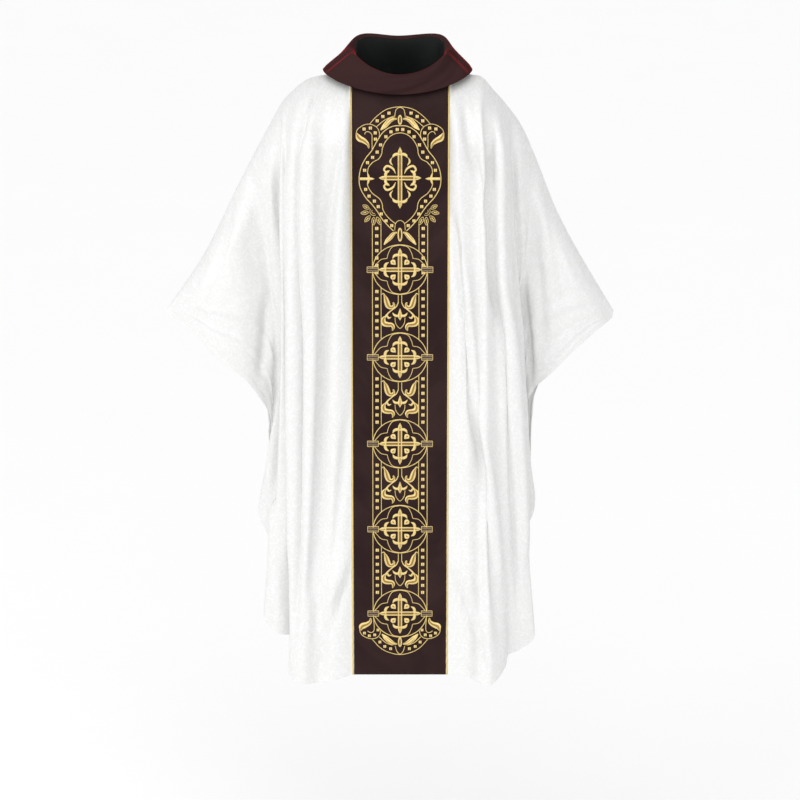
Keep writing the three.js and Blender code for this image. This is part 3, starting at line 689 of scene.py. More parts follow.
def make_hem_band(name, face_name, side_name, places, shares, settings):
    """The turned-up band inside the hem of a panel."""
    last = places[-1]
    inside = (places > HEM_INSET) & (places < last - HEM_INSET)
    rows = np.linspace(1 - HEM_RISE, HEM_FOOT_SHARE, 5)
    drape = draped_panel(face_name, side_name, places, np.append(shares[:-4], rows), settings)
    hem = drape[-5:, inside]
    normals = grid_normals(drape, (0, FACES[face_name]["toward"], 0))[-5:, inside]
    top = -CLOTH / 2 - LAYER_GAP
    uvs = {"cloth": cloth_uv(hem), "edge": edge_uv(hem)}
    finish = shared("silk_damask", damask_finish, settings)
    band = closed_sheet(f"{name}_hem", hem + top * normals, hem + (top - HEM_BAND) * normals, uvs)
    return finished(band, [f"{name}_hem_band"], [finish])


def make_panels(settings):
    """The four damask panels, with the turned-up band inside each hem."""
    finish = shared("silk_damask", damask_finish, settings)
    for face_name, face in FACES.items():
        for side_name, side in SIDES.items():
            last = len(folds_for(face_name, side)) - 1
            places = np.linspace(0, last, last * 9 + 1)
            shares = np.linspace(0, 1, 120)
            grid = draped_panel(face_name, side_name, places, shares, settings)
            normals = grid_normals(grid, (0, face["toward"], 0)) * CLOTH / 2
            name = f"{face_name}_{side_name}"
            uvs = {"cloth": panel_uv(grid), "edge": edge_uv(grid)}
            panel = closed_sheet(f"{name}_panel", grid + normals, grid - normals, uvs)
            finished(panel, [f"{name}_body"], [finish])
            band = make_hem_band(name, face_name, side_name, places, shares, settings)
            tape, seam_row = f"{side_name}_shoulder_tape", slice(0, 1)
            declare_sheet(panel, grid, "hung", [tape], [band], seam_row)


def orphrey_grid(face, across, shares):
    """The mid surface of an orphrey."""
    out = across[None, :] * ORPHREY_HALF
    top = neck_height(np.abs(out), face["dip"])
    z = lerp(top, -face["drop"], (shares**1.6)[:, None])
    x = np.broadcast_to(out, z.shape)
    y = centre_forward(face, np.abs(x), z)
    return np.stack([x, face["toward"] * y, z], -1)


def make_orphreys(settings):
    """The velvet bands down the middle of the front and the back, on their canvas."""
    velvet = shared("orphrey_pile", velvet_finish, settings, "orphrey_pile", 0.0, 1.0)
    canvas = shared("plain_canvas", canvas_finish, settings)
    for name, face in FACES.items():
        across = np.linspace(-1, 1, 41)
        grid = orphrey_grid(face, across, np.linspace(0, 1, 170))
        normals = grid_normals(grid, (0, face["toward"], 0))
        half = VELVET / 2
        uvs = {"cloth": cloth_uv(grid)}
        band = closed_sheet(f"{name}_velvet_band", grid + half * normals, grid - half * normals, uvs)
        finished(band, [f"{name}_orphrey"], [velvet])
        top = -half - LAYER_GAP
        backing = closed_sheet(
            f"{name}_canvas_backing", grid + top * normals, grid + (top - CANVAS) * normals, uvs
        )
        finished(backing, [f"{name}_interlining"], [canvas])
        declare_sheet(band, grid, "hung", ["neck_tape_ring"], [backing])
        declare_sheet(backing, grid, "hung", ["neck_tape_ring"])


def cord_line(face, sign):
    """The middle of the cord beside an orphrey, from the neck to the hem."""
    shares = np.linspace(0.0, 1.0, 620)
    out = ORPHREY_HALF + CORD_GAP + CORD_RADIUS
    z = lerp(neck_height(out, face["dip"]) - 2.0, -face["drop"], shares**1.3)
    y = face["toward"] * centre_forward(face, np.full_like(z, out), z)
    return np.stack([np.full_like(z, sign * out), y, z], -1)


def make_cords(settings):
    """Twisted gold cord along both edges of each orphrey."""
    finish = shared("twisted_cord", cord_finish, settings)
    sides = 10
    turns = np.linspace(0, 2 * math.pi, sides, endpoint=False)
    for face_name, face in FACES.items():
        for side_name, side in SIDES.items():
            line = cord_line(face, side["sign"])
            tangent = unit(np.gradient(line, axis=0))
            aside = unit(np.cross(tangent, (1.0, 0, 0)))
            length = arc_lengths(line[None], 1)[0]
            twist = length[:, None] * 2 * math.pi / CORD_TURN
            strands = 1 + 0.13 * np.cos(3 * (turns - twist))
            radius = CORD_RADIUS * 0.98 * strands
            ring = np.cos(turns)[None, :, None] * np.array([1.0, 0, 0])
            ring = ring + np.sin(turns)[None, :, None] * aside[:, None, :]
            points = (line[:, None, :] + radius[..., None] * ring).reshape(-1, 3)
            index = np.arange(len(points)).reshape(-1, sides)
            index = np.concatenate([index, index[:, :1]], 1)
            corners = [index[:-1, :-1], index[:-1, 1:], index[1:, 1:], index[1:, :-1]]
            quads = np.stack(corners, -1).reshape(-1, 4)
            ends = [list(index[0, :-1][::-1]), list(index[-1, :-1])]
            outward = points[quads[0]].mean(0) - line[0]
            a, b, c = points[quads[0][:3]]
            if np.dot(np.cross(b - a, c - a), outward) < 0:
                quads = quads[:, ::-1]
                ends = [end[::-1] for end in ends]
            uv = np.stack(np.broadcast_arrays(length[:, None], turns[None] * CORD_RADIUS), -1)
            name = f"{face_name}_{side_name}"
            faces = [*quads.tolist(), *ends]
            made = new_object(f"{name}_cord", points, faces, {"thread": uv.reshape(-1, 2)})
            finished(made, [f"{name}_piping"], [finish], angle=80)


def make_shoulder_tapes(settings):
    """The stay tapes under the shoulder seams."""
    canvas = shared("plain_canvas", canvas_finish, settings)
    for side_name, side in SIDES.items():
        last = len(side["folds"]) - 1
        places = np.linspace(1.5, last - 1, 140)
        top = panel_grid("front", side_name, places, np.array([0.0]))[0]
        line = np.stack([top[:, 0], np.zeros(len(top)), top[:, 2]], -1)
        tangent = unit(np.gradient(line, axis=0))
        up = np.stack([-tangent[:, 2], 0 * tangent[:, 0], tangent[:, 0]], -1)
        up = up * np.sign(up[:, 2:3] + 1e-9)
        low = CLOTH / 2 + TAPE_BELOW_SEAM
        across = np.linspace(-TAPE_HALF, TAPE_HALF, 5)
        grid = line[None] - low * up[None] + across[:, None, None] * np.array([0, 1.0, 0])
        uvs = {"cloth": cloth_uv(grid)}
        tape = closed_sheet(f"{side_name}_stay_tape", grid, grid - up[None] * CANVAS, uvs)
        finished(tape, [f"{side_name}_shoulder_tape"], [canvas])
        declare_sheet(tape, grid, "stretched", [f"front_{side_name}_body"])


# ---------------------------------------------------------------- collar

SEAM_INSET = 4.5
NECK_TAPE = 1.2
NECK_TAPE_TALL = 16

# Reach and height of the cowl's outer edge and of its roll, at the sides, the front and the back.
# The roll's corners at the back go out, back and up by the last three.
COLLAR = {
    "right": 161, "left": 151, "front": 142, "back": 126,
    "side_low": 22, "front_low": -6, "back_low": 14,
    "roll_side": 98, "roll_front": 92, "roll_back": 82,
    "roll_side_high": 62, "roll_front_high": 25, "roll_back_high": 78,
    "corner": (14, 13, 12),
}


def around(angle, front, side, back):
    """A height that changes round the neck from the front to the sides to the back."""
    return lerp(np.where(np.sin(angle) < 0, front, back), side, np.cos(angle) ** 2)


def neck_seam_height(angles):
    return around(angles, -FACES["front"]["dip"], NECK_SIDE_HEIGHT, -FACES["back"]["dip"])


def centripetal(points, shares):
    """A smooth line through a few points for every angle: points is (count, angles, 3)."""
    count = len(points)
    padded = np.concatenate([[2 * points[0] - points[1]], points, [2 * points[-1] - points[-2]]])
    gaps = np.sqrt(np.linalg.norm(np.diff(padded, axis=0), axis=-1))[..., None]
    made = []
    for share in shares:
        place = share * (count - 1)
        i = min(int(place), count - 2)
        w = place - i
        a, b, c, d = padded[i:i + 4]
        before, here, after = gaps[i:i + 3]
        start = (b - a) / before - (c - a) / (before + here) + (c - b) / here
        end = (c - b) / here - (d - b) / (here + after) + (d - c) / after
        start, end = start * here, end * here
        made.append(
            b + start * w + (3 * (c - b) - 2 * start - end) * w**2
            + (2 * (b - c) + start + end) * w**3
        )
    return np.array(made)


def collar_grid(angles, shares):
    """The collar's mid surface, from its outer edge over the roll to the neck seam."""
    c, s = np.cos(angles), np.sin(angles)
    forward = s < 0

    def ellipse(side, front, back, height):
        return np.stack([side * c, np.where(forward, front, back) * s, height], -1)

    n = COLLAR
    low = around(angles, n["front_low"], n["side_low"], n["back_low"])
    edge = ellipse(np.where(c < 0, n["right"], n["left"]), n["front"], n["back"], low)
    high = around(angles, n["roll_front_high"], n["roll_side_high"], n["roll_back_high"])
    roll = ellipse(n["roll_side"], n["roll_front"], n["roll_back"], high)
    corner = np.where(forward, 0, (2 * c * s) ** 2)
    roll += corner[:, None] * np.array(n["corner"]) * np.stack([np.sign(c), 1 + 0 * c, 1 + 0 * c], -1)
    front, back = FACES["front"]["depth"] - SEAM_INSET, FACES["back"]["depth"] - SEAM_INSET
    seam = ellipse(NECK_HALF - SEAM_INSET, front, back, neck_seam_height(angles) - 5)
    out = np.stack([c, s, 0 * c], -1)
    lift = np.array([0, 0, 1.0])
    bulge = lerp(edge, roll, 0.55) + 3 * out + 3 * lift
    above = roll + 5 * out + 2 * lift
    inside = roll - 5 * out - 7 * lift
    return centripetal(np.stack([edge, bulge, above, inside, seam]), shares)


# Soft folds over the collar's sides: angle round from the wearer's left, width, depth
COLLAR_FOLDS = [
    (-0.42, 0.10, 3.4), (-0.16, 0.12, -2.6), (0.16, 0.16, 2.6), (0.62, 0.2, -1.8),
    (3.54, 0.10, 3.2), (3.32, 0.10, -2.6), (3.06, 0.14, 2.4), (2.5, 0.22, -1.8),
    (3.78, 0.12, -1.6), (-0.66, 0.14, -1.4),
]


def collar_folded(angles, shares):
    grid = collar_grid(angles, shares)
    across = np.roll(grid, -1, axis=1) - np.roll(grid, 1, axis=1)
    down = np.gradient(grid, axis=0)
    normals = unit(np.cross(across, down))
    normals *= np.sign(normals[1, 0, 0])
    lift = np.zeros(grid.shape[:2])
    strength = eased(shares / 0.12 + 0.35) * eased((0.62 - shares) / 0.3)
    for angle, width, depth in COLLAR_FOLDS:
        away = (angles - angle + math.pi) % (2 * math.pi) - math.pi
        lift += depth * strength[:, None] * np.exp(-((away / width) ** 2))[None]
    lift += 0.5 * strength[:, None] * np.sin(9 * angles + 1.3)[None]
    return grid + normals * lift[..., None], normals


def make_collar(settings):
    """The velvet cowl collar with its lining, its interfacing and the tape in the neck."""
    # The collar's velvet carries a little painted red sheen in its base colour.
    velvet = shared("collar_pile", velvet_finish, settings, "collar_pile", 0.008, 2.4)
    lining = shared("twill_lining", lining_finish, settings)
    canvas = shared("plain_canvas", canvas_finish, settings)
    angles = np.linspace(0, 2 * math.pi, 240, endpoint=False)
    shares = np.linspace(0, 1, 101)
    grid, normals = collar_folded(angles, shares)
    parts = [
        ("cowl", "velvet", "collar_velvet", velvet, 0, 71, 0.8, -0.8),
        ("cowl_lining", "dark_lining", "collar_lining", lining, 71, 101, 0.6, -0.6),
        ("cowl_interfacing", "canvas", "collar_interfacing", canvas, 6, 41, -1.2, -2.2),
    ]
    made = {}
    for name, slot, node, finish, first, end, outer, inner in parts:
        part, lean = grid[first:end], normals[first:end]
        around_it = np.concatenate([part, part[:, :1]], axis=1)
        uv = cloth_uv(around_it)[:, :-1]
        piece = closed_sheet(name, part + outer * lean, part + inner * lean, {"cloth": uv}, ring=True)
        made[name] = finished(piece, [node], [finish])
        declare_sheet(piece, around_it, "folded", ["neck_tape"])
    make_neck_tape(angles, lining)


def make_neck_tape(angles, finish):
    """The upright tape that binds the neck seam, inside the lining."""
    clear = SEAM_INSET + NECK_TAPE + 2 * LAYER_GAP
    rows = np.linspace(0, 1, 6)
    top = neck_seam_height(angles) - 7
    layers = []
    for inset in (0, NECK_TAPE):
        depth = np.where(np.sin(angles) < 0, FACES["front"]["depth"], FACES["back"]["depth"])
        x = (NECK_HALF - clear - inset) * np.cos(angles)
        y = (depth - clear - inset) * np.sin(angles)
        layers.append(np.stack([np.stack([x, y, top - row * NECK_TAPE_TALL], -1) for row in rows]))
    around_it = np.concatenate([layers[0], layers[0][:, :1]], axis=1)
    uv = {"cloth": cloth_uv(around_it)[:, :-1]}
    tape = closed_sheet("neck_tape_ring", layers[0], layers[1], uv, ring=True)
    finished(tape, ["neck_tape"], [finish])
    declare_sheet(tape, around_it, "stretched", ["collar_lining"])


# ---------------------------------------------------------------- embroidery

# Tones of the thread. Pale and deep gold are the thread's own tones and partly painted light as well: pale
# gold is the lit look of the satin, deep gold painted shade in the middle of the cross arms and in the veins.
PALE, DEEP, LINE, DARK = range(4)
FIRST_ROUNDEL = -373
ROUNDEL_PITCH = 187
ROUNDELS = 5
RING_WIDE = 57
RING_TALL = 52.5
RAIL_OUTER = 57.4
RAIL_INNER = 39.4


class Needlework:
    """Raised strokes of thread, drawn flat with x across and z up, then laid on an orphrey."""

    ACROSS = np.array([-1.0, -0.62, 0.0, 0.62, 1.0])
    DOME = np.array([0.12, 0.78, 1.0, 0.78, 0.12])
    LINE_SHARE = 0.8

    def __init__(self):
        self.points, self.faces, self.uvs, self.tones = [], [], [], []
        self.count = 0

    def stroke(self, line, widths, tone=LINE, high=0.75, low=0.0, step=1.7, closed=False, smooth=True):
        """One domed band of thread along a line, its width following the given ones."""
        line = np.array(line, float)
        places = np.arange(len(line))
        if closed:
            line = np.concatenate([line, line[:1]])
            places = np.arange(len(line))
        rough = np.linalg.norm(np.diff(line, axis=0), axis=1).sum()
        count = max(3, int(rough / step) + 2)
        fine = np.linspace(0, len(line) - 1, count * 4)
        if smooth and closed:
            long = np.concatenate([line[-3:-1], line, line[1:3]])
            path = smooth_line(long, fine + 2)
        elif smooth:
            path = smooth_line(line, fine)
        else:
            path = np.stack([np.interp(fine, places, line[:, i]) for i in (0, 1)], -1)
        length = arc_lengths(path[None], 1)[0]
        even = np.linspace(0, length[-1], count)
        path = np.stack([np.interp(even, length, path[:, i]) for i in (0, 1)], -1)
        widths = np.atleast_1d(np.asarray(widths, float))
        if len(widths) == 1:
            widths = np.repeat(widths, 2)
        wide = smooth_line(widths, even / length[-1] * (len(widths) - 1))
        wide = np.maximum(wide * (self.LINE_SHARE if tone == LINE else 1.0), 0.25)
        if closed:
            path, wide, even = path[:-1], wide[:-1], even[:-1]
            tangent = unit(np.roll(path, -1, 0) - np.roll(path, 1, 0))
        else:
            tangent = unit(np.gradient(path, axis=0))
        aside = np.stack([-tangent[:, 1], tangent[:, 0]], -1)
        flat = path[:, None] + aside[:, None] * (self.ACROSS[None, :, None] * wide[:, None, None] / 2)
        lift = low + high * self.DOME[None] * np.minimum(1, wide[:, None] / 1.6)
        top = np.concatenate([flat, lift[..., None]], -1)
        foot = np.concatenate([flat[:, [0, 4]], np.full((len(path), 2, 1), low)], -1)
        rings = np.concatenate([foot[:, :1], top, foot[:, 1:]], 1)
        size = rings.shape[1]
        index = np.arange(len(path) * size).reshape(len(path), size) + self.count
        wrapped = np.concatenate([index, index[:, :1]], 1)
        if closed:
            wrapped = np.concatenate([wrapped, wrapped[:1]], 0)
        quads = np.stack(
            [wrapped[:-1, :-1], wrapped[1:, :-1], wrapped[1:, 1:], wrapped[:-1, 1:]], -1
        ).reshape(-1, 4).tolist()
        if not closed:
            quads += [index[0].tolist(), index[-1][::-1].tolist()]
        self.points.append(rings.reshape(-1, 3))
        self.faces += quads
        across = np.concatenate([[-1.0], self.ACROSS, [1.0]])
        u = np.broadcast_to(even[:, None], (len(path), size))
        v = across[None] * wide[:, None] / 2
        self.uvs.append(np.stack([u, v], -1).reshape(-1, 2))
        self.tones += [tone] * len(quads)
        self.count += len(path) * size

    def pair(self, line, widths, **facts):
        """The same stroke on both sides of the middle line."""
        self.stroke(line, widths, **facts)
        self.stroke([(-x, z) for x, z in line], widths, **facts)

    def ring(self, x, z, wide, tall, width=2.0, **facts):
        turn = np.linspace(0, 2 * math.pi, 28, endpoint=False)
        line = [(x + wide * math.cos(t), z + tall * math.sin(t)) for t in turn]
        self.stroke(line, [width], closed=True, **facts)

    def square(self, x, z, size=6.2):
        """A small square block of satin stitch, tied down across the middle."""
        for sign in (-1, 1):
            side = sign * x
            self.stroke(
                [(side - size / 2, z), (side + size / 2, z)], [size], tone=PALE, high=0.9, step=1.2,
                smooth=False,
            )
            self.stroke(
                [(side, z - size / 2.4), (side, z + size / 2.4)], [1.0], tone=DEEP, high=0.35,
                low=0.75, smooth=False,
            )

    def leaf(self, line, widths, vein=True):
        """A satin leaf: pale thread with a deep vein down it, on both sides of the middle."""
        self.pair(line, widths, tone=PALE, high=1.1)
        if vein:
            thin = [0.5] + [max(0.9, 0.36 * w) for w in widths[1:-1]] + [0.4]
            self.pair(line, thin, tone=DEEP, high=0.4, low=0.95)

    def bud(self, z, wide, tall):
        """An upright oval ring of thick thread, open in the middle."""
        self.ring(0, z, wide - 1.6, tall - 1.8, 3.2, tone=PALE, high=1.3)

    def lay(self, name, face_name, node, finishes):
        """Lays the drawn strokes on the velvet of one face."""
        face = FACES[face_name]
        x, z, lift = np.concatenate(self.points).T
        step = 0.5
        out = np.abs(x)
        forward = centre_forward(face, out, z)
        across = (centre_forward(face, np.abs(x + step), z) - centre_forward(face, np.abs(x - step), z))
        down = centre_forward(face, out, z + step) - centre_forward(face, out, z - step)
        normal = unit(np.stack([
            -across / (2 * step), np.full_like(x, face["toward"]), -down / (2 * step)], -1))
        ground = np.stack([x, face["toward"] * forward, z], -1)
        points = ground + normal * (VELVET / 2 - 0.05 + lift)[:, None]
        faces = self.faces
        if face["toward"] > 0:
            faces = [face_points[::-1] for face_points in faces]
        uv = {"thread": np.concatenate(self.uvs)}
        made = new_object(name, points, faces, uv, self.tones)
        return finished(made, [node], finishes, angle=60)


def thread_finishes(settings):
    return [
        shared("gold_pale", thread_finish, "gold_pale", settings.gold_pale, 0.34, settings),
        shared("gold_deep", thread_finish, "gold_deep", settings.gold_deep, 0.42, settings),
        shared("gold_line", thread_finish, "gold_line", settings.gold_line, 0.36, settings),
        shared("plum_satin", thread_finish, "plum_satin", settings.plum, 0.45, settings),
    ]


def draw_crest(work):
    """The arch, horns and leaves above the medallion."""
    work.stroke([(-63, -68), (-48.4, -52), (-27, -37), (0, -32), (27, -37), (48.4, -52), (63, -68)], [2.0])
    work.pair([(48.4, -73), (31, -59), (12, -51)], [2.0])
    work.stroke([(-11, -52), (-8, -38), (0, -33), (8, -38), (11, -52)], [1.9], low=0.1)
    for x, z in ((22.7, -45), (35.3, -52), (46.9, -61)):
        work.square(x, z)
    work.bud(-59, 4.7, 10.8)
    draw_leaf_spray(work, [(6, -57), (14, -57), (22, -61), (31, -71), (40, -80)], [3, 8.5, 10.2, 9, 2.4])
    work.pair(
        [(43, -97), (42.6, -85), (48.4, -74), (61, -68), (74, -69.5), (87, -78), (90.5, -88)], [2.0])
    work.pair([(57.5, -120), (57.7, -102), (58, -90), (63.6, -84), (70, -84), (73, -89)], [2.0])
    for x, z in ((74, -78), (61, -76), (51, -86), (50.7, -99)):
        work.square(x, z)
    work.leaf([(90, -86), (84, -97), (75, -102), (67, -109), (64, -118)], [3, 12, 11, 7.5, 2])


def draw_leaf_spray(work, line, widths):
    """A long leaf of three lobes, drawn as overlapping bands with deep veins."""
    work.pair(line, widths, tone=PALE, high=1.0)
    line, widths = np.array(line, float), np.array(widths, float)
    tangent = unit(np.gradient(line, axis=0))
    aside = np.stack([-tangent[:, 1], tangent[:, 0]], -1)
    for share in (-0.26, 0.26):
        vein = line + aside * (widths * share)[:, None]
        work.pair(vein[:-1].tolist(), [0.6, 1.3, 1.3, 0.5], tone=DEEP, high=0.35, low=0.85)


OUTER_MEDALLION = [
    (0, -71), (15.6, -72.5), (32.7, -82.5), (45.6, -100), (58.4, -123), (71, -139), (81, -160),
    (84.5, -181), (82, -201), (71, -221), (58.4, -235), (47.7, -249), (37, -266), (24, -281),
    (13.5, -291),
]
INNER_MEDALLION = [
    (0, -86), (15.6, -90), (28.5, -102), (36, -117), (38, -130), (44.5, -140.5), (56, -147),
    (65, -158), (67, -169), (66, -181.6), (67, -195), (58, -211), (43, -223), (37, -234),
    (35, -247), (26, -261), (15.6, -271), (9, -276),
]
MEDALLION_SQUARES = [
    (5.7, -79), (18.6, -84), (29, -94), (40, -111), (47, -126), (56.5, -137), (67, -148),
    (73, -164), (71, -204), (64, -218), (53, -228.5), (45, -240), (39, -255.5), (29, -270),
    (17, -280),
]


def draw_medallion_frame(work):
    """The double frame of the medallion with its spears, half daisies and foot."""
    for line, width in ((OUTER_MEDALLION, 2.5), (INNER_MEDALLION, 2.2)):
        both = [(-x, z) for x, z in line[:0:-1]] + line
        work.stroke(both, [width], high=0.9)
    for x, z in MEDALLION_SQUARES:
        work.square(x, z)
    work.pair([(83, -181.6), (62.5, -181.6)], [6.0], tone=PALE, high=1.0, smooth=False)
    work.pair([(64, -181.6), (59, -181.6), (52.5, -181.6)], [6.4, 5.2, 0.6], tone=PALE, high=1.1)
    work.pair([(66.5, -170), (64.5, -177), (64.5, -186), (66.5, -193)], [1.2, 3.6, 3.6, 1.2], tone=PALE)
    centre = np.array([54, -250.0])
    for tip in ((77, -237), (81, -254), (73, -272), (55, -279), (40, -278)):
        reach = np.array(tip, float) - centre
        away = unit(reach)
        side = np.array([-away[1], away[0]])
        start, end = centre + 0.42 * reach, np.array(tip, float)
        middle = lerp(start, end, 0.5)
        petal = [start, middle + side * 3.9, end, middle - side * 3.9]
        for sign in (1, -1):
            work.stroke([(sign * p[0], p[1]) for p in petal], [1.7], closed=True)
        seed = [lerp(start, end, 0.3), lerp(start, end, 0.78)]
        work.pair([tuple(p) for p in seed], [2.6, 1.8], tone=PALE, high=0.8)
    for radius in (4.5, 8.5):
        arc = [centre + radius * np.array([math.cos(a), math.sin(a)]) for a in np.linspace(0.7, -2.0, 8)]
        work.pair([tuple(p) for p in arc], [1.4])
    work.stroke([(-11, -290), (-9, -275), (0, -269), (9, -275), (11, -290)], [1.9], low=0.1)
    work.bud(-299, 5.2, 15)
    draw_leaf_spray(work, [(6, -294), (13, -297), (20, -305), (27, -312), (33, -320)], [3, 8, 9, 7.5, 2.4])


def draw_fleury_end(work, tip, length, wide):
    """The lily on the end of a cross arm: tip is its point, and length its direction inwards."""
    tip, inward = np.array(tip, float), unit(np.array(length, float))
    side = np.array([-inward[1], inward[0]])
    root = tip + inward * 15 * wide
    work.stroke([tuple(root), tuple(lerp(root, tip, 0.5)), tuple(tip)], [6 * wide, 8 * wide, 0.7],
                tone=PALE, high=1.2)
    work.stroke([tuple(lerp(root, tip, 0.1)), tuple(lerp(root, tip, 0.7))], [2.2 * wide, 1.0],
                tone=DEEP, high=0.4, low=1.05)
    for sign in (-1, 1):
        curl = [root, root + side * sign * 6 * wide - inward * 1.2 * wide,
                root + side * sign * 12 * wide + inward * 1.0 * wide,
                root + side * sign * 15.5 * wide + inward * 7 * wide]
        work.stroke([tuple(p) for p in curl], [5 * wide, 6.2 * wide, 5.4 * wide, 0.8], tone=PALE, high=1.15)


def draw_cross(work, x, z, reach_x, reach_z, half):
    """A cross with a lily on each arm and a dark seam down the middle of the arms."""
    scale = half / 4.5
    arms = [((x - reach_x, z), (x + reach_x, z)), ((x, z - reach_z), (x, z + reach_z))]
    for (x0, z0), (x1, z1) in arms:
        away = unit(np.array([x1 - x0, z1 - z0], float))
        a = np.array([x0, z0], float) + away * 13 * scale
        b = np.array([x1, z1], float) - away * 13 * scale
        side = np.array([-away[1], away[0]])
        # The deep gold down the middle of each arm, between pale strips on its edges, is partly painted
        # shade.
        work.stroke([tuple(a), tuple(b)], [2 * half], tone=DEEP, high=1.0, smooth=False)
        for sign in (-1, 1):
            shift = side * sign * (half - 1.1)
            work.stroke([tuple(a + shift), tuple(b + shift)], [2.4], tone=PALE, high=0.55, low=0.75,
                        smooth=False)
        work.stroke([tuple(a), tuple(b)], [0.9], tone=DARK, high=0.25, low=0.95, smooth=False)
        draw_fleury_end(work, (x0, z0), away, scale)
        draw_fleury_end(work, (x1, z1), -away, scale)


def draw_heart(work, x, z, turn_x, turn_z):
    """A small heart in the corner of a cross, its point towards the middle."""
    away = unit(np.array([turn_x, turn_z], float))
    centre = np.array([x, z], float)
    line = [tuple(centre + away * d) for d in (-6.6, -2.5, 1.5, 5.8)]
    work.stroke(line, [1.6, 8.5, 11.5, 5.5], tone=PALE, high=1.0)
    work.stroke([tuple(centre - away * 2.4), tuple(centre + away * 2.6)], [1.2, 3.4], tone=DEEP,
                high=0.4, low=0.85)


def draw_medallion_cross(work):
    """A tall plain cross with small scrolls between its arms."""
    z = -180
    draw_cross(work, 0, z, 44, 64, 4.6)
    for sign in (1, -1):
        scroll = [(9, z + sign * 9), (15, z + sign * 20), (27, z + sign * 25), (33, z + sign * 17),
                  (26, z + sign * 11.5), (21.5, z + sign * 16)]
        work.pair(scroll, [1.2, 4.2, 5.0, 4.6, 3.4, 1.2], tone=PALE, high=1.0)
        work.pair([(15, z + sign * 26), (20, z + sign * 34), (17, z + sign * 43)], [1.0, 4.4, 0.8],
                  tone=PALE, high=1.0)


# A quarter of the barbed quatrefoil, from its top round to its side
QUATREFOIL = [(0, 52), (15.7, 48), (23.6, 36), (27, 24), (40, 21), (50.5, 10), (54, 6)]


def draw_roundel(work, z):
    """One roundel: ring, barbed quatrefoil, cross, hearts and the two barrels."""
    work.ring(0, z, RING_WIDE, RING_TALL, 2.3, high=0.85)
    for sign in (1, -1):
        for turned in (1, -1):
            line = [(sign * x, z + turned * dz) for x, dz in QUATREFOIL]
            work.stroke(line[:4], [1.8], low=0.05)
            work.stroke(line[3:], [1.8], low=0.05)
    draw_cross(work, 0, z, 45, 45, 4.5)
    for sx in (1, -1):
        for sz in (1, -1):
            draw_heart(work, sx * 14, z + sz * 15.4, sx, sz)
    work.pair([(45.4, z), (68.5, z)], [12.6], tone=DARK, high=1.0, smooth=False)
    work.pair([(45.4, z + 6), (68.5, z + 6), (68.5, z - 6), (45.4, z - 6)], [1.7], high=0.8, low=0.5,
              closed=True, smooth=False)
    for dz in (-2.3, 0.2, 2.6):
        work.pair([(46.5, z + dz), (67.5, z + dz)], [0.8], high=0.4, low=0.8, smooth=False)


def draw_rails(work, top, bottom, squares):
    """The two rails on each side with a column of squares between them."""
    work.pair([(RAIL_OUTER, top[0]), (RAIL_OUTER, bottom[0])], [2.1], step=7, smooth=False)
    work.pair([(RAIL_INNER, top[1]), (RAIL_INNER, bottom[1])], [2.0], step=7, smooth=False)
    for i in range(7):
        work.square(48.2, squares - 15.6 * i, 6.5)


def draw_spray(work, top):
    """The stems, curled leaves and lily between two roundels; top is the upper ring's foot."""
    def at(points):
        return [(x, top + z) for x, z in points]

    work.pair(at([(3.6, -1), (3.6, -18)]), [2.0], smooth=False)
    work.pair(at([(3.6, -17), (8, -26), (17, -33), (25, -40), (31, -48)]), [2.2, 2.2, 2.4, 3.2, 4.5],
              tone=PALE)
    work.leaf(at([(33.5, 0), (30, -7), (27.5, -16), (24, -25), (17, -27.5), (12.5, -22), (14.5, -16.5)]),
              [2.5, 8, 11, 11, 8, 6, 3])
    work.pair(at([(38.5, 0), (35, 2.5), (31.5, -1)]), [1.6, 3.0, 2.4])
    work.pair(at([(8, -26), (14, -28.5), (21, -27)]), [2.0, 3.6, 2.0], tone=PALE)
    work.leaf(at([(31, -46), (35, -54), (33, -61.5), (25, -64), (17.5, -64.5), (14, -70), (16, -77)]),
              [3, 9.5, 11, 10.5, 8.5, 7, 2])
    work.pair(at([(27, -43), (24, -50), (18.5, -48)]), [1.4, 4.4, 1.2], tone=PALE)
    work.stroke(at([(0, -30), (0, -38), (0, -47), (0, -55)]), [1.2, 6.5, 9.0, 0.8], tone=PALE, high=1.1)
    work.stroke(at([(0, -38), (0, -50)]), [1.0, 2.6], tone=DEEP, high=0.4, low=0.95)
    work.pair(at([(1, -44), (7, -45.5), (12, -43.5), (15.5, -38.5)]), [4.5, 5, 4.4, 0.8], tone=PALE)
    work.stroke(at([(-10.5, -49), (-9.4, -60), (-5, -68), (0, -72), (5, -68), (9.4, -60), (10.5, -49)]),
                [1.8])


def draw_foot(work, z):
    """The arc, horns and leaves under the last roundel."""
    def at(points):
        return [(x, z + dz) for x, dz in points]

    work.stroke(at([(-59, -58), (-43, -76), (-24, -87), (0, -92), (24, -87), (43, -76), (59, -58)]), [2.0])
    work.pair(at([(44.6, -52), (31, -65), (15.5, -71)]), [2.0])
    work.stroke(at([(-10, -73), (-7, -84), (0, -91), (7, -84), (10, -73)]), [1.9], low=0.1)
    work.bud(z - 64, 4.4, 11.5)
    draw_leaf_spray(work, at([(6, -68.5), (14, -67), (22, -62), (31, -54), (38.6, -46)]),
                    [3, 8.5, 10.2, 9, 2.4])
    for x, dz in ((43, -64), (32.6, -74), (20, -79), (47, -37), (54, -48), (65.6, -50), (76, -44)):
        work.square(x, z + dz, 5.8)
    work.pair(at([(41, -38), (44, -48), (51.5, -55), (65, -56), (79, -50), (85, -42), (86, -34)]), [2.0])
    work.pair(at([(56.5, -9), (55, -33), (57.5, -41), (63.5, -42.5), (69.5, -39)]), [2.0])
    work.leaf(at([(84.5, -38), (81, -29), (70, -24), (63.5, -18), (63, -10)]), [3, 13, 11, 8, 2.5])


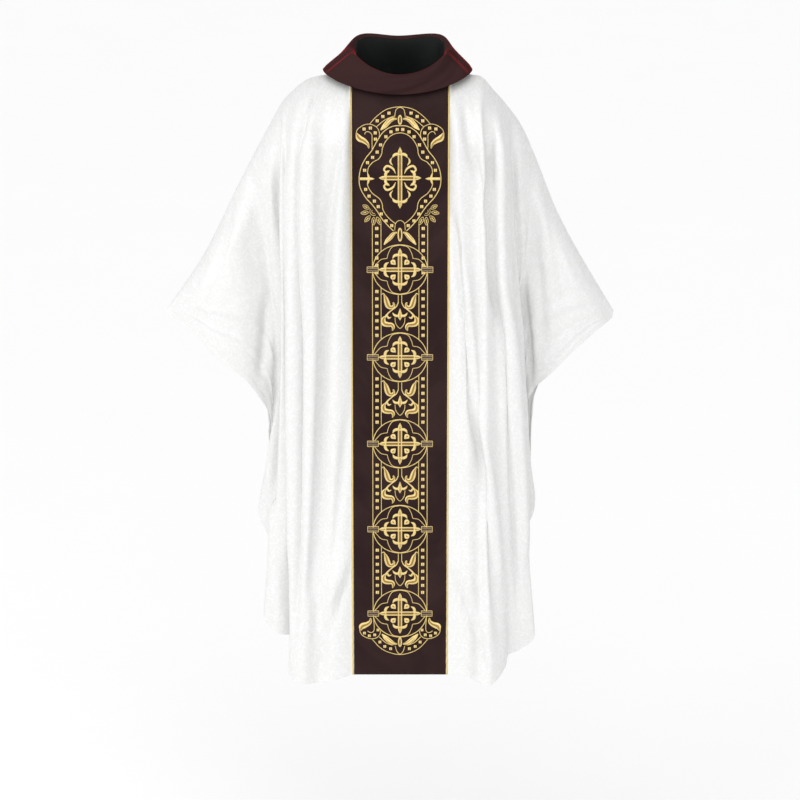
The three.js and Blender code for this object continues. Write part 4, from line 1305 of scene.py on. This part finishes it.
def make_embroidery(settings):
    """All the gold embroidery of both orphreys, one piece for each ornament."""
    finishes = thread_finishes(settings)
    centres = [FIRST_ROUNDEL - ROUNDEL_PITCH * i for i in range(ROUNDELS)]
    rail_drop = RING_TALL * math.sqrt(1 - (RAIL_INNER / RING_WIDE) ** 2)
    drawn = {}

    def start(label):
        drawn[label] = Needlework()
        return drawn[label]

    draw_crest(start("crest"))
    draw_medallion_frame(start("medallion_frame"))
    draw_medallion_cross(start("medallion_cross"))
    for i, z in enumerate(centres):
        work = start(f"roundel_{i + 1}")
        draw_roundel(work, z)
        if i == 0:
            tops, first_square = (-277, -277), -286
        else:
            above = centres[i - 1]
            tops, first_square = (above - 8, above - rail_drop), above - 46.5
        draw_rails(work, tops, (z + 8, z + rail_drop), first_square)
    for i, z in enumerate(centres[:-1]):
        draw_spray(start(f"spray_{i + 1}"), z - 53)
    draw_foot(start("foot_crest"), centres[-1])
    for face_name in FACES:
        for label, work in drawn.items():
            node = f"{face_name}_{label}"
            work.lay(f"{node}_stitching", face_name, node, finishes)


# ---------------------------------------------------------------- stage


# Name, place and width in metres, power in watts
LAMPS = [
    ("key_light", (-2.9, -2.6, 0.5), 1.4, 19),
    ("fill_light", (3.2, -2.6, 0.3), 1.4, 15),
]
LIGHT_AIM = Vector((0, 0, -0.6))
SUN_STRENGTH = 1.5
SUN_SPREAD = math.radians(80)
SUN_TURN = (math.radians(52), 0, math.radians(-22))
FLOOR_RADIUS = 60
CAMERA_PLACE = (0, -6.761, 1.118)
CAMERA_TILT = math.radians(75)
CAMERA_LENS = 146.5


def make_light(name, place, size, energy):
    data = bpy.data.lights.new(name, "AREA")
    data.shape = "DISK"
    data.size = size
    data.energy = energy
    made = bpy.data.objects.new(name, data)
    made.location = place
    made.rotation_euler = (LIGHT_AIM - made.location).to_track_quat("-Z", "Y").to_euler()
    bpy.context.collection.objects.link(made)


def make_floor(settings):
    """The pale floor under the hems."""
    bpy.ops.object.select_all(action="DESELECT")
    place = (0, 0, settings.floor_height)
    bpy.ops.mesh.primitive_circle_add(
        vertices=96, radius=FLOOR_RADIUS, fill_type="NGON", location=place
    )
    floor = bpy.context.active_object
    floor.name = "floor"
    bpy.ops.object.transform_apply(location=True, rotation=False, scale=False)
    f = Finish("pale_floor", Roughness=0.9, Specular_IOR_Level=0.1)
    grain = f.noise(f.coordinates(), 2.0, 2.0)
    tint = settings.floor_colour
    darker = colour(tuple(0.985 * c for c in tint))
    f.to("Base Color", f.mix(grain, colour(tint), darker))
    floor.data.materials.append(f.material)


def make_lights(settings):
    """Two soft lamps, a broad sun and an even white surround."""
    strength = settings.light_strength
    for name, place, size, energy in LAMPS:
        make_light(name, place, size, energy * strength)
    data = bpy.data.lights.new("overhead", "SUN")
    data.energy = SUN_STRENGTH * strength
    data.angle = SUN_SPREAD
    sun = bpy.data.objects.new("overhead", data)
    sun.rotation_euler = SUN_TURN
    bpy.context.collection.objects.link(sun)
    world = bpy.data.worlds.new("studio")
    world.use_nodes = True
    surround = world.node_tree.nodes["Background"].inputs
    surround["Color"].default_value = (1, 1, 1, 1)
    surround["Strength"].default_value = settings.sky
    bpy.context.scene.world = world


def make_camera():
    lens = bpy.data.cameras.new("camera")
    lens.sensor_width = 36
    lens.lens = CAMERA_LENS
    lens.clip_end = 300
    camera = bpy.data.objects.new("camera", lens)
    camera.location = CAMERA_PLACE
    camera.rotation_euler = (CAMERA_TILT, 0, 0)
    bpy.context.collection.objects.link(camera)
    bpy.context.scene.camera = camera


def make_stage(settings):
    """The pale floor, the soft lights and the camera."""
    make_floor(settings)
    make_lights(settings)
    make_camera()
    bpy.context.scene.view_settings.view_transform = "Standard"


# ---------------------------------------------------------------- add-on


def tint(name, description, default):
    return bpy.props.FloatVectorProperty(
        name=name, description=description, default=default, size=3, min=0, max=1, subtype="COLOR"
    )


def amount(name, description, default, most=1):
    return bpy.props.FloatProperty(
        name=name, description=description, default=default, min=0, max=most, subtype="FACTOR"
    )


def distance(name, description, default, **limits):
    return bpy.props.FloatProperty(
        name=name, description=description, default=default, subtype="DISTANCE", unit="LENGTH",
        **limits,
    )


class ChasubleCloth(bpy.types.PropertyGroup):
    """Colours and drape of the cloths."""

    wave_depth: distance("Wave depth", "Height of the soft waves in the damask", 0.0022, min=0, max=0.01)
    crease: amount("Creases", "How deep the pressed creases are", 1.45, 4)
    damask_ground: tint("Damask ground", "Matt ground of the damask", (0.69, 0.695, 0.685))
    damask_figure: tint("Damask figure", "Satin scrolls of the damask", (0.735, 0.74, 0.735))
    velvet: tint("Velvet", "Pile of the velvet, seen straight on", (0.031, 0.0175, 0.0175))
    # The velvet glow also tints the collar's base colour a little: painted sheen.
    velvet_glow: tint("Velvet glow", "Light that the pile gives back at its edges", (0.75, 0.03, 0.045))
    velvet_sheen: amount("Velvet sheen", "How strongly the pile glows at its edges", 0.35)
    lining: tint("Lining", "Dark lining of the cowl and the neck", (0.004, 0.005, 0.005))
    canvas: tint("Canvas", "Interlining and stay tapes", (0.62, 0.57, 0.46))


class ChasubleThread(bpy.types.PropertyGroup):
    """Colours of the gold thread and cord."""

    # Pale and deep gold are partly painted light: lit satin, and its shade in the middle of the arms and in
    # the veins.
    gold_pale: tint("Pale gold", "Lit satin stitch", (0.78, 0.60, 0.24))
    gold_deep: tint("Deep gold", "Veins and the middle of the arms", (0.32, 0.19, 0.045))
    gold_line: tint("Gold line", "Outlines and cord", (0.78, 0.60, 0.22))
    plum: tint("Plum satin", "Filling of the barrels", (0.07, 0.04, 0.045))
    thread_metal: amount("Metal", "How metallic the thread looks", 0.5)
    thread_pitch: distance(
        "Thread pitch", "Distance from one thread to the next", 0.0005, min=0.0001, max=0.002
    )


class ChasubleStage(bpy.types.PropertyGroup):
    """Floor and light."""

    floor_height: distance(
        "Floor height", "Height of the floor from the neck opening", cad_box[0].z - 0.6
    )
    floor_colour: tint("Floor", "Colour of the floor", (0.97, 0.97, 0.97))
    light_strength: amount("Lights", "Strength of the studio lights", 1.0, 10)
    sky: amount("Surround", "Strength of the even white surround", 0.72, 5)


class Settings:
    """All the settings of the scene, read as one."""

    def __init__(self, scene):
        self.groups = (scene.chasuble_cloth, scene.chasuble_thread, scene.chasuble_stage)

    def __getattr__(self, name):
        for group in self.groups:
            if hasattr(group, name):
                value = getattr(group, name)
                return tuple(value) if hasattr(value, "__len__") else value
        raise AttributeError(name)


class CHASUBLE_OT_panels(bpy.types.Operator):
    """Drape the four damask panels and their hems"""

    bl_idname = "chasuble.panels"
    bl_label = "Damask panels"
    bl_options = {"REGISTER", "UNDO"}

    def execute(self, context):
        make_panels(Settings(context.scene))
        return {"FINISHED"}


class CHASUBLE_OT_orphreys(bpy.types.Operator):
    """Hang the velvet orphreys and their canvas"""

    bl_idname = "chasuble.orphreys"
    bl_label = "Orphreys"
    bl_options = {"REGISTER", "UNDO"}

    def execute(self, context):
        make_orphreys(Settings(context.scene))
        return {"FINISHED"}


class CHASUBLE_OT_cords(bpy.types.Operator):
    """Lay the twisted cords beside the orphreys"""

    bl_idname = "chasuble.cords"
    bl_label = "Gold cords"
    bl_options = {"REGISTER", "UNDO"}

    def execute(self, context):
        make_cords(Settings(context.scene))
        return {"FINISHED"}


class CHASUBLE_OT_tapes(bpy.types.Operator):
    """Sew the stay tapes under the shoulder seams"""

    bl_idname = "chasuble.tapes"
    bl_label = "Shoulder tapes"
    bl_options = {"REGISTER", "UNDO"}

    def execute(self, context):
        make_shoulder_tapes(Settings(context.scene))
        return {"FINISHED"}


class CHASUBLE_OT_collar(bpy.types.Operator):
    """Roll the velvet collar, its lining and neck tape"""

    bl_idname = "chasuble.collar"
    bl_label = "Cowl collar"
    bl_options = {"REGISTER", "UNDO"}

    def execute(self, context):
        make_collar(Settings(context.scene))
        return {"FINISHED"}


class CHASUBLE_OT_embroidery(bpy.types.Operator):
    """Stitch the gold ornaments on both orphreys"""

    bl_idname = "chasuble.embroidery"
    bl_label = "Embroidery"
    bl_options = {"REGISTER", "UNDO"}

    def execute(self, context):
        make_embroidery(Settings(context.scene))
        return {"FINISHED"}


class CHASUBLE_OT_stage(bpy.types.Operator):
    """Set the floor, the lights and the camera"""

    bl_idname = "chasuble.stage"
    bl_label = "Stage"
    bl_options = {"REGISTER", "UNDO"}

    def execute(self, context):
        make_stage(Settings(context.scene))
        return {"FINISHED"}


OPERATORS = [
    CHASUBLE_OT_panels,
    CHASUBLE_OT_orphreys,
    CHASUBLE_OT_cords,
    CHASUBLE_OT_tapes,
    CHASUBLE_OT_collar,
    CHASUBLE_OT_embroidery,
    CHASUBLE_OT_stage,
]


class CHASUBLE_PT_panel(bpy.types.Panel):
    """Lists the steps of making the chasuble."""

    bl_label = "Chasuble"
    bl_idname = "CHASUBLE_PT_panel"
    bl_space_type = "VIEW_3D"
    bl_region_type = "UI"
    bl_category = "Chasuble"

    def draw(self, context):
        for group in ("chasuble_cloth", "chasuble_thread", "chasuble_stage"):
            settings = getattr(context.scene, group)
            box = self.layout.box()
            for name in settings.__annotations__:
                box.prop(settings, name)
        for kind in OPERATORS:
            self.layout.operator(kind.bl_idname)


GROUPS = {
    "chasuble_cloth": ChasubleCloth, "chasuble_thread": ChasubleThread, "chasuble_stage": ChasubleStage,
}


def register():
    for kind in (*GROUPS.values(), *OPERATORS, CHASUBLE_PT_panel):
        bpy.utils.register_class(kind)
    for name, kind in GROUPS.items():
        setattr(bpy.types.Scene, name, bpy.props.PointerProperty(type=kind))


def unregister():
    for name in GROUPS:
        delattr(bpy.types.Scene, name)
    for kind in (CHASUBLE_PT_panel, *reversed(OPERATORS), *reversed(GROUPS.values())):
        bpy.utils.unregister_class(kind)


def main():
    register()
    for kind in OPERATORS:
        step = getattr(bpy.ops.chasuble, kind.bl_idname.split(".")[1])
        if step() != {"FINISHED"}:
            raise RuntimeError(kind.bl_label + " was not made")


if __name__ == "__main__":
    main()
